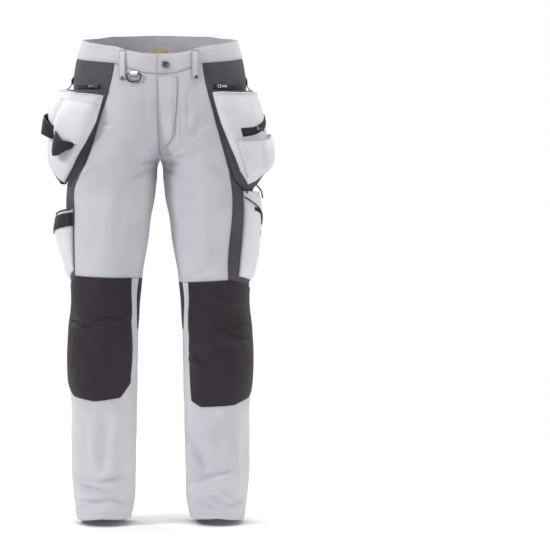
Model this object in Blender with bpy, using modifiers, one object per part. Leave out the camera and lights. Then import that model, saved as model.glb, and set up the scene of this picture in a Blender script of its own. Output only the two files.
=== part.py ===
"""Work trousers with hanging tool holsters, knee patches and side pockets.

The trousers are modelled as worn: filled out, hollow, open at the waist and hems.
Every sewn piece is a wall of cloth cut from one surface, so pieces meet at their seams.
Lengths are worked out in millimetres and the meshes are written in metres.
X is sideways (the wearer's left is +X), -Y is the front, Z is up.
The origin is the centre of the waist opening.
"""
import math

import bmesh
import bpy
import numpy as np
from mathutils import Matrix, Vector
from mathutils.bvhtree import BVHTree

MM = 0.001
RIGHT, LEFT = -1, 1
SIDES = {"right": RIGHT, "left": LEFT}

CLOTH = 1.5            # wall of the body cloth
HEAVY = 1.8            # wall of the hard-wearing cloth
HALF_SEAM = 0.17       # each piece stops this far short of its seam line
GAP = 0.3              # air between a hard piece and what carries it
LAY = 0.45             # air between a sewn-on piece and the cloth under it
BAND_WALL = 2.6        # folded waistband

# Body sections: height, outer and inner edge from the centre plane, front and back reach.
# A negative inner edge lies past the centre plane, where the two legs are one body.
SECTIONS = np.array([
    # z,    outer, inner, front, back
    (-1070, 181, 72, -67, 94),
    (-1047, 185, 67, -67, 94),
    (-1021, 189, 60, -68, 93),
    (-999, 192, 57, -69, 92),
    (-955, 196, 55, -71, 90),
    (-889, 197, 54, -74, 87),
    (-779, 197, 52, -80, 80),
    (-735, 202, 51, -83, 76),
    (-625, 200, 48, -91, 68),
    (-559, 194, 44, -95, 70),
    (-515, 196, 40, -97, 76),
    (-471, 200, 34, -98, 84),
    (-427, 204, 26, -100, 93),
    (-383, 206, 21, -102, 102),
    (-339, 206, 12, -104, 112),
    (-295, 203, 7, -106, 122),
    (-254, 196, 0.6, -109, 134),
    (-240, 195, -10, -111, 139),
    (-220, 194, -24, -114, 144),
    (-190, 191, -48, -118, 147),
    (-163, 189, -66, -121, 147),
    (-125, 189, -95, -124, 143),
    (-75, 189, -135, -122, 134),
    (-31, 182, -161, -118, 126),
    (14, 169, -169, -110, 120),
    (40, 164, -164, -107, 117),
], dtype=float)

# Where the long seams and guide lines run: height and distance from the centre plane.
# front_key is the fly edge above the crotch and the knee patch edge below it.
# back_key is the inner edge of the back pocket.
LINES = {
    RIGHT: {
        "front_key": [(-1060, 84), (-900, 76), (-740, 66), (-625, 62), (-505, 62), (-400, 52),
                      (-300, 34), (-254, 13), (-240, 12), (-225, 17), (-200, 27), (-160, 33),
                      (40, 33)],
        "front_seam": [(-1060, 165), (-800, 178), (-493, 187), (-372, 187), (-304, 184),
                       (-268, 166), (-158, 129), (-57, 101), (40, 92)],
        "back_seam": [(-1060, 160), (-800, 165), (-526, 168), (-366, 183), (-271, 184),
                      (-244, 190), (-147, 173), (-57, 150), (40, 132)],
        "back_key": [(-1060, 85), (-640, 70), (-510, 66), (-400, 58), (-300, 52), (-225, 55),
                     (-202, 53), (-100, 48), (-60, 46), (40, 44)],
    },
    LEFT: {
        "front_key": [(-1060, 84), (-900, 76), (-780, 68), (-625, 61), (-505, 61), (-400, 52),
                      (-300, 34), (-254, 13), (-240, 12), (-225, 17), (-200, 27), (-160, 33),
                      (40, 33)],
        "front_seam": [(-1060, 160), (-800, 172), (-620, 168), (-515, 149), (-306, 155),
                       (-288, 152), (-158, 118), (-57, 94), (40, 88)],
        "back_seam": [(-1060, 155), (-800, 155), (-634, 138), (-532, 106), (-504, 104),
                      (-304, 138), (-240, 190), (-147, 176), (-57, 155), (40, 135)],
        "back_key": [(-1060, 85), (-640, 70), (-510, 62), (-400, 56), (-300, 52), (-225, 55),
                     (-202, 53), (-100, 48), (-60, 46), (40, 44)],
    },
}

# Long lines round one side, from the centre front or inseam to the centre back or inseam:
# each line's place on a scale of 30, and the grid columns between it and the line before.
ROUND = {
    # name: (place, columns)
    "front": (0, 0), "front_key": (3, 3), "front_seam": (12, 8), "outseam": (15, 4),
    "back_seam": (18, 4), "back_key": (27, 8), "back": (30, 3),
}
COL = dict(zip(ROUND, np.cumsum([columns for _, columns in ROUND.values()]).tolist()))

# Grid rows down one side: name, rows down from the line above, and the line's height at
# some places round. The left leg's own lines replace the right leg's where they differ.
ROW_LINES = [
    ("band_foot", 0, [(0, -64), (3, -61), (9, -48), (12, -40), (15, -31), (21, -26), (27, -20),
                      (30, -18)]),
    ("pocket_top", 2, [(0, -95), (12, -88), (15, -86), (18, -94), (27, -68), (30, -62)]),
    ("pocket_band", 1, [(0, -125), (12, -130), (15, -135), (18, -146), (27, -100), (30, -95)]),
    ("pocket_foot", 3, [(0, -239), (3, -236), (12, -236), (15, -240), (18, -246), (22, -268),
                        (26, -226), (27, -203), (30, -190)]),
    ("crotch", 3, [(0, -254), (3, -256), (12, -276), (15, -285), (18, -290), (22, -302),
                   (26, -275), (27, -266), (30, -254)]),
    ("thigh_foot", 5, [(0, -509), (12, -503), (15, -531), (18, -531), (27, -514), (30, -509)]),
    ("knee_back_foot", 4, [(0, -622), (12, -632), (18, -634), (30, -622)]),
    ("patch_foot", 3, [(0, -735), (3, -738), (5, -770), (9, -777), (13, -769), (15, -740),
                       (18, -745), (30, -735)]),
    ("guard_top", 6, [(0, -954), (8, -985), (15, -1001), (22, -990), (26, -978), (30, -954)]),
    ("hem", 3, [(0, -1044), (8, -1038), (15, -1047), (23, -1054), (30, -1044)]),
]
LEFT_ROW_LINES = {
    "thigh_foot": [(0, -519), (12, -512), (15, -534), (18, -534), (27, -516), (30, -519)],
    "patch_foot": [(0, -772), (3, -778), (5, -791), (11, -787), (14, -772), (15, -757),
                   (18, -760), (30, -772)],
}

# How far the inseam turns forward round the knee, where the stretch cloth shows beside the patch.
INSEAM_TURN = [(-1100, 0.0), (-740, 0.0), (-680, 0.05), (-630, 0.22), (-580, 0.4), (-540, 0.46),
               (-510, 0.42), (-470, 0.22), (-410, 0.0), (40, 0.0)]

# The largest folds, as soft troughs: side, face, ends (across, height), depth and width.
FOLDS = [
    (RIGHT, "front", (78, -640), (190, -622), 5.0, 20),
    (RIGHT, "front", (70, -938), (155, -958), 4.5, 18),
    (RIGHT, "front", (105, -984), (188, -964), 4.5, 18),
    (RIGHT, "front", (68, -1002), (140, -1000), 3.0, 16),
    (LEFT, "front", (80, -560), (160, -604), 4.5, 20),
    (LEFT, "front", (78, -640), (180, -684), 4.5, 20),
    (LEFT, "front", (62, -868), (98, -936), 4.5, 18),
    (LEFT, "front", (70, -962), (160, -932), 4.5, 18),
    (LEFT, "front", (110, -1010), (192, -994), 3.5, 16),
    (RIGHT, "front", (10, -262), (70, -232), 3.0, 16),
    (LEFT, "front", (10, -262), (74, -240), 3.0, 16),
    (RIGHT, "back", (50, -312), (150, -296), 5.0, 20),
    (LEFT, "back", (50, -312), (150, -296), 5.0, 20),
    (RIGHT, "back", (66, -574), (176, -590), 4.0, 20),
    (LEFT, "back", (66, -580), (176, -568), 4.0, 20),
    (RIGHT, "back", (80, -880), (170, -912), 4.0, 22),
    (LEFT, "back", (84, -900), (172, -868), 4.0, 22),
]

# Tool holster backings: height, front edge and outer edge from the centre plane, how far
# back the outer edge lies, and how far the backing bows out between its edges. The front
# edge lies on the hip and the outer edge stands off it.
HOLSTERS = {
    RIGHT: [(-97, 109, 209, 16, 25), (-125, 119, 218, 14, 24), (-160, 131, 227, 12, 21),
            (-205, 146, 233, 10, 18), (-240, 159, 238, 6, 15), (-268, 170, 236, -4, 12),
            (-288, 186, 229, -18, 8), (-305, 206, 216, -32, 2)],
    LEFT: [(-99, 107, 204, 16, 27), (-127, 114, 216, 14, 25), (-160, 124, 224, 12, 22),
           (-205, 137, 230, 10, 19), (-245, 147, 240, 6, 16), (-268, 153, 238, -2, 14),
           (-292, 161, 222, -20, 9), (-316, 182, 203, -40, 2)],
}
HOLSTER_COLUMNS = 8
HOLSTER_ROW = 20.0     # height of one row of a holster's cloth
HIP_AIR = 4.2          # how far the holster's cloth starts out from the hip
SEWN_FOOT = -275.0     # the holster's front edge lies close on the hip down to here

PALETTE = {
    # name: colour, roughness, metallic
    "white_cloth": ((0.72, 0.72, 0.75), 0.85, 0.0),
    "dark_cordura": ((0.075, 0.07, 0.08), 0.8, 0.0),
    "black_stretch": ((0.02, 0.015, 0.018), 0.85, 0.0),
    "patch_cordura": ((0.04, 0.034, 0.04), 0.75, 0.0),
    "webbing": ((0.018, 0.017, 0.02), 0.7, 0.0),
    "plastic": ((0.05, 0.05, 0.055), 0.45, 0.0),
    "metal": ((0.12, 0.12, 0.13), 0.35, 1.0),
    "button_metal": ((0.35, 0.34, 0.34), 0.3, 1.0),
    "label_cloth": ((0.7, 0.6, 0.05), 0.7, 0.0),
}


def clear_scene():
    """Remove whatever the file holds."""
    for obj in list(bpy.data.objects):
        bpy.data.objects.remove(obj, do_unlink=True)


def new_collection(name):
    collection = bpy.data.collections.new(name)
    bpy.context.scene.collection.children.link(collection)
    return collection


def material(name, node_name):
    """A Principled material for one node, in one of the palette's finishes."""
    colour, roughness, metallic = PALETTE[name]
    made = bpy.data.materials.new(f"{node_name}_{name}")
    made.use_nodes = True
    shader = made.node_tree.nodes["Principled BSDF"]
    shader.inputs["Base Color"].default_value = (*colour, 1.0)
    shader.inputs["Roughness"].default_value = roughness
    shader.inputs["Metallic"].default_value = metallic
    made.diffuse_color = (*colour, 1.0)
    return made


def smooth(at, table, column):
    """The value of a table's column at each height, on a smooth curve through its rows."""
    heights, values = table[:, 0], table[:, column]
    at = np.clip(at, heights[0], heights[-1])
    slopes = np.gradient(values, heights)
    low = np.clip(np.searchsorted(heights, at) - 1, 0, len(heights) - 2)
    step = heights[low + 1] - heights[low]
    t = (at - heights[low]) / step
    return ((2 * t**3 - 3 * t**2 + 1) * values[low] + (t**3 - 2 * t**2 + t) * step * slopes[low]
            + (3 * t**2 - 2 * t**3) * values[low + 1] + (t**3 - t**2) * step * slopes[low + 1])


def unit(vectors):
    return vectors / np.maximum(np.linalg.norm(vectors, axis=-1, keepdims=True), 1e-9)


def section_at(z):
    """Centre, half width and half depth of the body's section at each height."""
    outer, inner = smooth(z, SECTIONS, 1), smooth(z, SECTIONS, 2)
    front, back = smooth(z, SECTIONS, 3), smooth(z, SECTIONS, 4)
    return (outer + inner) / 2, (outer - inner) / 2, (front + back) / 2, (back - front) / 2


def plain_point(side, angle, z):
    """A point of the unfolded cloth. The angle runs from the inseam round the front."""
    mid_x, half_x, mid_y, half_y = section_at(z)
    return np.stack([side * (mid_x - half_x * np.cos(angle)), mid_y - half_y * np.sin(angle), z],
                    axis=-1)


def plain_normal(side, angle, z):
    """The outward direction of the unfolded cloth, from small steps along it."""
    step_angle, step_z = 0.01, 1.0
    across = (plain_point(side, angle + step_angle, z) - plain_point(side, angle - step_angle, z))
    along = plain_point(side, angle, z + step_z) - plain_point(side, angle, z - step_z)
    return side * unit(np.cross(across, along))


def fold_depth(side, angle, point):
    """How far the folds press the cloth in at each point."""
    depth = np.zeros(point.shape[:-1])
    facing = {"front": np.clip(2 * np.sin(angle), 0, 1), "back": np.clip(-2 * np.sin(angle), 0, 1)}
    across, height = np.abs(point[..., 0]), point[..., 2]
    for fold_side, face, start, end, deep, wide in FOLDS:
        if fold_side != side:
            continue
        run, rise = end[0] - start[0], end[1] - start[1]
        t = ((across - start[0]) * run + (height - start[1]) * rise) / (run**2 + rise**2)
        t = np.clip(t, 0, 1)
        gap = np.hypot(across - start[0] - t * run, height - start[1] - t * rise)
        depth += deep * np.exp(-(gap / wide) ** 2) * facing[face]
    return depth


def body_point(side, angle, z):
    """A point of the cloth's outer face, folds and all, with its outward direction."""
    point, normal = plain_point(side, angle, z), plain_normal(side, angle, z)
    return point - normal * fold_depth(side, angle, point)[..., None], normal


def angle_of(side, line, z):
    """The angle at which a named long line crosses each height."""
    mid_x, half_x, _, _ = section_at(z)
    if line in ("front", "back"):
        turn = np.arccos(np.clip(mid_x / half_x, -1, 1))
        forward = np.maximum(smooth(z, np.array(INSEAM_TURN), 1), 0)
        return forward + (turn if line == "front" else 2 * math.pi - turn)
    table = np.array(LINES[side][line], dtype=float)
    across = smooth(z, table, 1)
    turn = np.arccos(np.clip((mid_x - across) / half_x, -math.cos(0.2), 1))
    return turn if line.startswith("front") else 2 * math.pi - turn


class Sheet:
    """A grid of cloth points with their outward directions, rows down and columns across."""

    def __init__(self, points, normals):
        self.points, self.normals = points, normals

    def take(self, rows, cols, refine=1):
        """A part of the sheet, its ends at fractions of a cell, its cells cut in equal parts."""
        r, c = self.stations(*rows, refine), self.stations(*cols, refine)
        return Sheet(self.between(self.points, r, c), unit(self.between(self.normals, r, c)))

    @staticmethod
    def stations(start, end, refine):
        inner = np.arange(math.ceil(start * refine), math.floor(end * refine) + 1) / refine
        inner = inner[(inner > start + 0.02) & (inner < end - 0.02)]
        return np.concatenate([[start], inner, [end]])

    @staticmethod
    def between(values, rows, cols):
        """Values at fractional rows and columns, on the two triangles that each cell has."""
        r0 = np.clip(np.floor(rows).astype(int), 0, values.shape[0] - 2)
        c0 = np.clip(np.floor(cols).astype(int), 0, values.shape[1] - 2)
        down, across = (rows - r0)[:, None, None], (cols - c0)[None, :, None]
        first, last = values[r0][:, c0], values[r0 + 1][:, c0 + 1]
        foot, right = values[r0 + 1][:, c0], values[r0][:, c0 + 1]
        lower = first + down * (foot - first) + across * (last - foot)
        upper = first + across * (right - first) + down * (last - right)
        return np.where(down >= across, lower, upper)

    def raised(self, height):
        """The same grid moved out by a height, one number or one for each point."""
        height = np.broadcast_to(height, self.points.shape[:2])[..., None]
        return Sheet(self.points + self.normals * height, self.normals)

    def fresh_normals(self):
        """The same grid with directions from its own shape, on the side they were."""
        down, right = np.gradient(self.points, axis=0), np.gradient(self.points, axis=1)
        made = unit(np.cross(down, right))
        facing = np.sign(np.sum(made * self.normals, axis=-1, keepdims=True))
        return Sheet(self.points, made * np.where(facing == 0, 1, facing))

    def spread(self):
        """Fractions down and across the grid, each from 0 to 1."""
        rows, cols = self.points.shape[:2]
        return np.meshgrid(np.linspace(0, 1, rows), np.linspace(0, 1, cols), indexing="ij")


class Ground:
    """Outer faces of the cloth, to find how far a hard piece stands off it."""

    REACH = 60.0

    def __init__(self, *sheets):
        self.trees = [self.tree(sheet.points) for sheet in sheets]

    @staticmethod
    def tree(points):
        rows, cols = points.shape[:2]
        corner = np.arange(rows * cols).reshape(rows, cols)
        a, b, c, d = corner[:-1, :-1], corner[1:, :-1], corner[1:, 1:], corner[:-1, 1:]
        faces = [np.stack(three, axis=-1).reshape(-1, 3) for three in ((a, b, c), (a, c, d))]
        return BVHTree.FromPolygons(points.reshape(-1, 3).tolist(), np.concatenate(faces).tolist())

    def below(self, point, out):
        """How far below a point the cloth lies, against the outward direction."""
        start = Vector(np.asarray(point) + np.asarray(out) * self.REACH)
        hits = [tree.ray_cast(start, -Vector(out), 3 * self.REACH) for tree in self.trees]
        return min((hit[3] for hit in hits if hit[0]), default=2 * self.REACH) - self.REACH

    def foot(self, point, out):
        """Where the line through a point meets the cloth, and the cloth's own direction."""
        start = Vector(np.asarray(point) + np.asarray(out) * self.REACH)
        hits = [tree.ray_cast(start, -Vector(out), 3 * self.REACH) for tree in self.trees]
        place, normal = min((hit for hit in hits if hit[0]), key=lambda hit: hit[3])[:2]
        normal = np.array(normal)
        return np.array(place), normal * np.sign(np.dot(normal, out))

    def room(self, centre, right, up, out, size):
        """How far a flat rectangle can move in before it lies on the cloth."""
        span = np.linspace(-0.5, 0.5, 7)
        return min(self.below(centre + right * u * size[0] + up * v * size[1], out)
                   for u in span for v in span)


def row_numbers():
    """The grid row of each named row line."""
    numbers, at = {}, 0
    for name, count, _ in ROW_LINES:
        at += count
        numbers[name] = at
    return numbers


ROW = row_numbers()


def places():
    """Each grid column's place on the scale of 30 round a side."""
    return np.interp(np.arange(COL["back"] + 1), list(COL.values()),
                     [place for place, _ in ROUND.values()])


def angles(side, z):
    """The angle of each grid column at the heights that the columns have."""
    turn = {name: angle_of(side, name, z) for name in COL if name != "outseam"}
    low = np.clip((-z - 480) / 70, 0, 1)
    turn["outseam"] = (turn["front_seam"] + turn["back_seam"]) / 2 * (1 - low) + math.pi * low
    angle = np.empty_like(z)
    names = list(COL)
    for name, after in zip(names, names[1:]):
        span = slice(COL[name], COL[after] + 1)
        t = np.linspace(0, 1, COL[after] - COL[name] + 1)
        angle[:, span] = turn[name][:, span] * (1 - t) + turn[after][:, span] * t
    return angle


def body_grid(side):
    """The cloth of one side of the body, from the foot of the waistband to the hem."""
    lines = []
    for name, count, line in ROW_LINES:
        own = LEFT_ROW_LINES.get(name, line) if side == LEFT else line
        height = np.interp(places(), *np.array(own, dtype=float).T)
        lines.extend(lines[-1] + (height - lines[-1]) * k / count for k in range(1, count))
        lines.append(height)
    z = np.array(lines)
    return Sheet(*body_point(side, angles(side, z), z))


def solid(name, vertices, faces, finish, flat=False):
    """A closed mesh object with its faces turned outwards."""
    mesh = bpy.data.meshes.new(name)
    mesh.from_pydata((np.asarray(vertices) * MM).tolist(), [], faces)
    work = bmesh.new()
    work.from_mesh(mesh)
    if work.calc_volume(signed=True) < 0:
        bmesh.ops.reverse_faces(work, faces=work.faces)
    work.to_mesh(mesh)
    work.free()
    return keep(name, mesh, finish, flat)


def keep(name, mesh, finish, flat=False):
    """Put a finished mesh into the parts collection as an object of its own."""
    if not flat:
        mesh.shade_smooth()
        mesh.set_sharp_from_angle(angle=math.radians(40))
    obj = bpy.data.objects.new(name, mesh)
    obj.data.materials.append(material(finish, name))
    PARTS.objects.link(obj)
    return obj


def wall(name, outer, inner, finish, ring=False, mask=None):
    """A wall of cloth between two grids of points, closed round its edges.

    A ring joins its last column to its first. A mask keeps only some of the cells.
    """
    rows, cols = outer.shape[:2]
    wide = cols if ring else cols - 1
    if mask is None:
        mask = np.ones((rows - 1, wide), dtype=bool)
    number = {}
    vertices = []

    def vertex(r, c, layer):
        key = (r, c % cols, layer)
        if key not in number:
            number[key] = len(vertices)
            vertices.append((outer, inner)[layer][r, c % cols])
        return number[key]

    def kept(r, c):
        c = c % wide if ring else c
        return 0 <= r < rows - 1 and 0 <= c < wide and bool(mask[r, c])

    faces = []
    for r in range(rows - 1):
        for c in range(wide):
            if not mask[r, c]:
                continue
            corners = [(r, c), (r + 1, c), (r + 1, c + 1), (r, c + 1)]
            for three in (corners[:3], [corners[0], *corners[2:]]):
                faces.append([vertex(*corner, 0) for corner in three])
                faces.append([vertex(*corner, 1) for corner in reversed(three)])
            sides = [(r, c - 1), (r + 1, c), (r, c + 1), (r - 1, c)]
            for k, beside in enumerate(sides):
                if not kept(*beside):
                    a, b = corners[k], corners[(k + 1) % 4]
                    faces.append([vertex(*b, 0), vertex(*a, 0), vertex(*a, 1), vertex(*b, 1)])
    return solid(name, vertices, faces, finish)


def pulled_in(points, mask, amount):
    """Move the points on the edge of a mask's cells towards the inside by the seam allowance."""
    rows, cols = points.shape[:2]
    cell = np.zeros((rows + 1, cols + 1))
    cell[1:-1, 1:-1] = np.where(mask, 1, -1)
    cell[0], cell[-1], cell[:, 0], cell[:, -1] = -1, -1, -1, -1
    over_left, over_right = cell[:-1, :-1], cell[:-1, 1:]
    under_left, under_right = cell[1:, :-1], cell[1:, 1:]
    right = np.sign(over_right + under_right - over_left - under_left)
    down = np.sign(under_left + under_right - over_left - over_right)
    moved = points.copy()
    ahead = unit(np.concatenate([points[:, 1:] - points[:, :-1], points[:, -1:] - points[:, -2:-1]], 1))
    behind = unit(np.concatenate([points[:, :1] - points[:, 1:2], points[:, :-1] - points[:, 1:]], 1))
    below = unit(np.concatenate([points[1:] - points[:-1], points[-1:] - points[-2:-1]], 0))
    above = unit(np.concatenate([points[:1] - points[1:2], points[:-1] - points[1:]], 0))
    moved += amount * np.where(right[..., None] > 0, ahead, behind) * np.abs(right[..., None])
    moved += amount * np.where(down[..., None] > 0, below, above) * np.abs(down[..., None])
    return moved


def cells(*blocks):
    """A mask of the body grid's cells, from blocks of (first row, last row, first, last column)."""
    mask = np.zeros((ROW["hem"], COL["back"]), dtype=bool)
    for top, foot, first, last in blocks:
        mask[ROW[top]:ROW[foot], COL[first]:COL[last]] = True
    return mask


def body_panel(name, side, mask, finish, thickness=CLOTH, lift=0.0, inset=HALF_SEAM):
    """One cut piece of the body, or one sewn over it when it has a lift."""
    sheet = BODY[side]
    outer = pulled_in(sheet.points, mask, inset) + sheet.normals * (lift + (thickness if lift else 0))
    inner = outer - sheet.normals * thickness
    for grid in (outer, inner):
        upper = grid[:ROW["crotch"] + 1]
        for edge in (0, -1):
            upper[:, edge, 0] = side * np.maximum(side * upper[:, edge, 0], HALF_SEAM)
    wall(name, outer, inner, finish, mask=mask)


def sewn(name, under, finish, thickness=1.2, height=0.0, lift=LAY):
    """A piece sewn over part of a sheet. Returns its outer face as a sheet of its own."""
    inner = under.raised(np.asarray(height) + lift)
    outer = under.raised(np.asarray(height) + lift + thickness)
    wall(name, outer.points, inner.points, finish)
    return outer.fresh_normals()


def make_body(label, side):
    """The cut pieces of one leg and its half of the seat."""
    body_panel(f"front_thigh_{label}", side,
               cells(("band_foot", "thigh_foot", "front", "front_seam")), "white_cloth")
    body_panel(f"side_panel_{label}", side,
               cells(("band_foot", "thigh_foot", "front_seam", "back_seam")), "dark_cordura", HEAVY)
    body_panel(f"back_thigh_{label}", side,
               cells(("band_foot", "thigh_foot", "back_seam", "back")), "white_cloth")
    body_panel(f"front_shin_{label}", side,
               cells(("thigh_foot", "hem", "front", "outseam")), "white_cloth")
    body_panel(f"back_knee_{label}", side,
               cells(("thigh_foot", "knee_back_foot", "outseam", "back")), "black_stretch")
    body_panel(f"back_calf_{label}", side,
               cells(("knee_back_foot", "guard_top", "outseam", "back")), "white_cloth")
    body_panel(f"heel_guard_{label}", side,
               cells(("guard_top", "hem", "outseam", "back")), "patch_cordura")
    body_panel(f"knee_patch_{label}", side,
               cells(("thigh_foot", "patch_foot", "front_key", "outseam")), "patch_cordura",
               HEAVY, LAY, 1.0)


def make_back_pocket(label, side):
    """A patch pocket on the seat, its mouth trimmed with a dark band."""
    cols = (COL["back_seam"] + 0.35, COL["back_key"])
    band = BODY[side].take((ROW["pocket_top"], ROW["pocket_band"] - 0.02), cols)
    sewn(f"back_pocket_band_{label}", band, "dark_cordura", 1.6, 0.0, LAY + 0.4)
    bag = BODY[side].take((ROW["pocket_band"], ROW["pocket_foot"]), cols)
    down, across = bag.spread()
    fill = 5.0 * np.sin(np.pi * across) ** 0.6 * np.cos(np.pi * down / 2) ** 0.8
    fill[0] = 0
    sewn(f"back_pocket_{label}", bag, "white_cloth", 1.4, fill, LAY + 0.5)


WAIST_TOP = [(0, -19), (4, -17), (8, -12), (12, -3), (15, 11), (21, 20), (30, 23)]
BAND_LIFT = 0.6        # how far the folded band stands out past the body cloth
BAND_ROWS = 2


def band_sheet(side):
    """One side's half of the waistband, over the body cloth's own columns."""
    top = np.interp(places(), *np.array(WAIST_TOP, dtype=float).T)
    foot = np.interp(places(), *np.array(ROW_LINES[0][2], dtype=float).T) + 2 * HALF_SEAM
    share = np.linspace(0, 1, BAND_ROWS + 1)[:, None]
    z = top * (1 - share) + foot * share
    return Sheet(*body_point(side, angles(side, z), z))


FLY_EDGE = 0.45        # column of the right side at which the fly's edge lies


def make_waistband():
    """A folded band, open at the fly edge, with a small gap between its ends."""
    right, left = band_sheet(RIGHT), band_sheet(LEFT)
    last = COL["back"]
    start = right.take((0, BAND_ROWS), (FLY_EDGE + 0.05, last))
    end = right.take((0, BAND_ROWS), (0, FLY_EDGE))

    def round_body(of_right, of_left, of_end):
        return np.concatenate([of_right, of_left[:, ::-1][:, 1:], of_end[:, 1:]], axis=1)

    points = round_body(start.points, left.points, end.points)
    normals = round_body(start.normals, left.normals, end.normals)
    outer = points + normals * BAND_LIFT
    wall("waistband", outer, outer - normals * BAND_WALL, "white_cloth")


def surface_patch(side, face, across, heights, lift, twist=0.0):
    """A small sheet over the body, by distance from the centre plane and height."""
    x, z = np.meshgrid(np.array(across, dtype=float), np.array(heights, dtype=float))
    x = x + twist * (z - z[0]) / (z[-1] - z[0])
    own = np.where(x < 0, -side, side)
    points, normals = np.empty(x.shape + (3,)), np.empty(x.shape + (3,))
    mid_x, half_x, _, _ = section_at(z)
    turn = np.arccos(np.clip((mid_x - np.abs(x)) / half_x, -1, 1))
    angle = turn if face == "front" else 2 * math.pi - turn
    for s in (RIGHT, LEFT):
        p, n = body_point(s, angle, z)
        points[own == s], normals[own == s] = p[own == s], n[own == s]
    return Sheet(points, normals).raised(lift)


def make_belt_loop(name, side, face, middle, width, top, foot, twist=0.0, thickness=2.0):
    """A flat belt loop over the waistband, tacked to the body below it."""
    across = middle + np.array([-0.5, 0, 0.5]) * width
    heights = np.linspace(top, foot, 5)
    under = surface_patch(side, face, across, heights, 0.6, twist)
    sewn(name, under, "white_cloth", thickness, 0.0, LAY + 0.3)


def make_fly():
    """The fly's overlap, its edge just past the centre line, curving in at its foot."""
    rows = (ROW["band_foot"] + 0.08, ROW["pocket_foot"])
    left = BODY[LEFT].take(rows, (0, COL["front_key"]))
    right = BODY[RIGHT].take(rows, (0, FLY_EDGE))
    points = np.concatenate([right.points[:, ::-1][:, :-1], left.points], axis=1)
    normals = np.concatenate([right.normals[:, ::-1][:, :-1], left.normals], axis=1)
    normals[:, 1] = unit(normals[:, 1] * (0, 1, 1))
    sewn("fly", Sheet(points, normals), "white_cloth", 1.2, 0.0, LAY + 1.1)


def frame_at(origin, along, out):
    """A matrix in metres with X along a direction, Z out of the surface, and its origin."""
    x = Vector(along).normalized()
    z = Vector(out)
    z = (z - x * z.dot(x)).normalized()
    y = z.cross(x)
    turn = Matrix((x, y, z)).transposed().to_4x4()
    return Matrix.Translation(Vector(origin) * MM) @ turn


def block(name, size, finish, place, bevel=0.0, centre=(0, 0, 0)):
    """A box of a size in millimetres, with rounded edges where a bevel is given."""
    work = bmesh.new()
    bmesh.ops.create_cube(work, size=1.0, matrix=Matrix.Translation(Vector(centre) * MM)
                          @ Matrix.Diagonal((*(Vector(size) * MM), 1)))
    mesh = bpy.data.meshes.new(name)
    work.to_mesh(mesh)
    work.free()
    obj = keep(name, mesh, finish, flat=True)
    obj.matrix_world = place
    if bevel:
        rounded = obj.modifiers.new("rounded", "BEVEL")
        rounded.width, rounded.segments = bevel * MM, 1
    return obj


def cut(obj, cutter):
    """Cut one object with another, which becomes a hidden guide."""
    for collection in cutter.users_collection:
        collection.objects.unlink(cutter)
    CUTTERS.objects.link(cutter)
    cutter.hide_render, cutter.display_type = True, "WIRE"
    work = obj.modifiers.new(cutter.name, "BOOLEAN")
    work.operation, work.object, work.solver = "DIFFERENCE", cutter, "EXACT"


def join(obj, other):
    """Fuse another solid into an object."""
    cut(obj, other)
    obj.modifiers[other.name].operation = "UNION"


def disc(name, radius, height, finish, place, segments=16, centre=(0, 0, 0), turn=None):
    """A short cylinder along its own Z, in millimetres."""
    work = bmesh.new()
    matrix = Matrix.Translation(Vector(centre) * MM) @ (turn or Matrix.Identity(4))
    bmesh.ops.create_cone(work, cap_ends=True, segments=segments, radius1=radius * MM,
                          radius2=radius * MM, depth=height * MM, matrix=matrix)
    mesh = bpy.data.meshes.new(name)
    work.to_mesh(mesh)
    work.free()
    obj = keep(name, mesh, finish)
    obj.matrix_world = place
    return obj


BUTTON_X, BUTTON_Z, BUTTON_RADIUS = 12.0, -43.0, 8.0


def make_button():
    """The jeans button on the waistband, over the fly."""
    under = surface_patch(LEFT, "front", (BUTTON_X - 8, BUTTON_X, BUTTON_X + 8),
                          (BUTTON_Z + 8, BUTTON_Z, BUTTON_Z - 8), 0.6)
    centre, out = under.points[1, 1], under.normals[1, 1]
    height = 3.0
    place = frame_at(centre + out * (LAY + 0.35 + height / 2), (1, 0, 0), out)
    button = disc("button", BUTTON_RADIUS, height, "button_metal", place, 20)
    rim = button.modifiers.new("rim", "BEVEL")
    rim.width, rim.segments = 0.9 * MM, 1


RING_BAR = 1.9                 # half the thickness of the ring's wire
RING_TOP_Z, RING_FOOT_Z = -63.5, -80.0
RING_HALF_TOP, RING_HALF_FOOT = 17.0, 12.0
RING_X = -55.5


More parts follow.
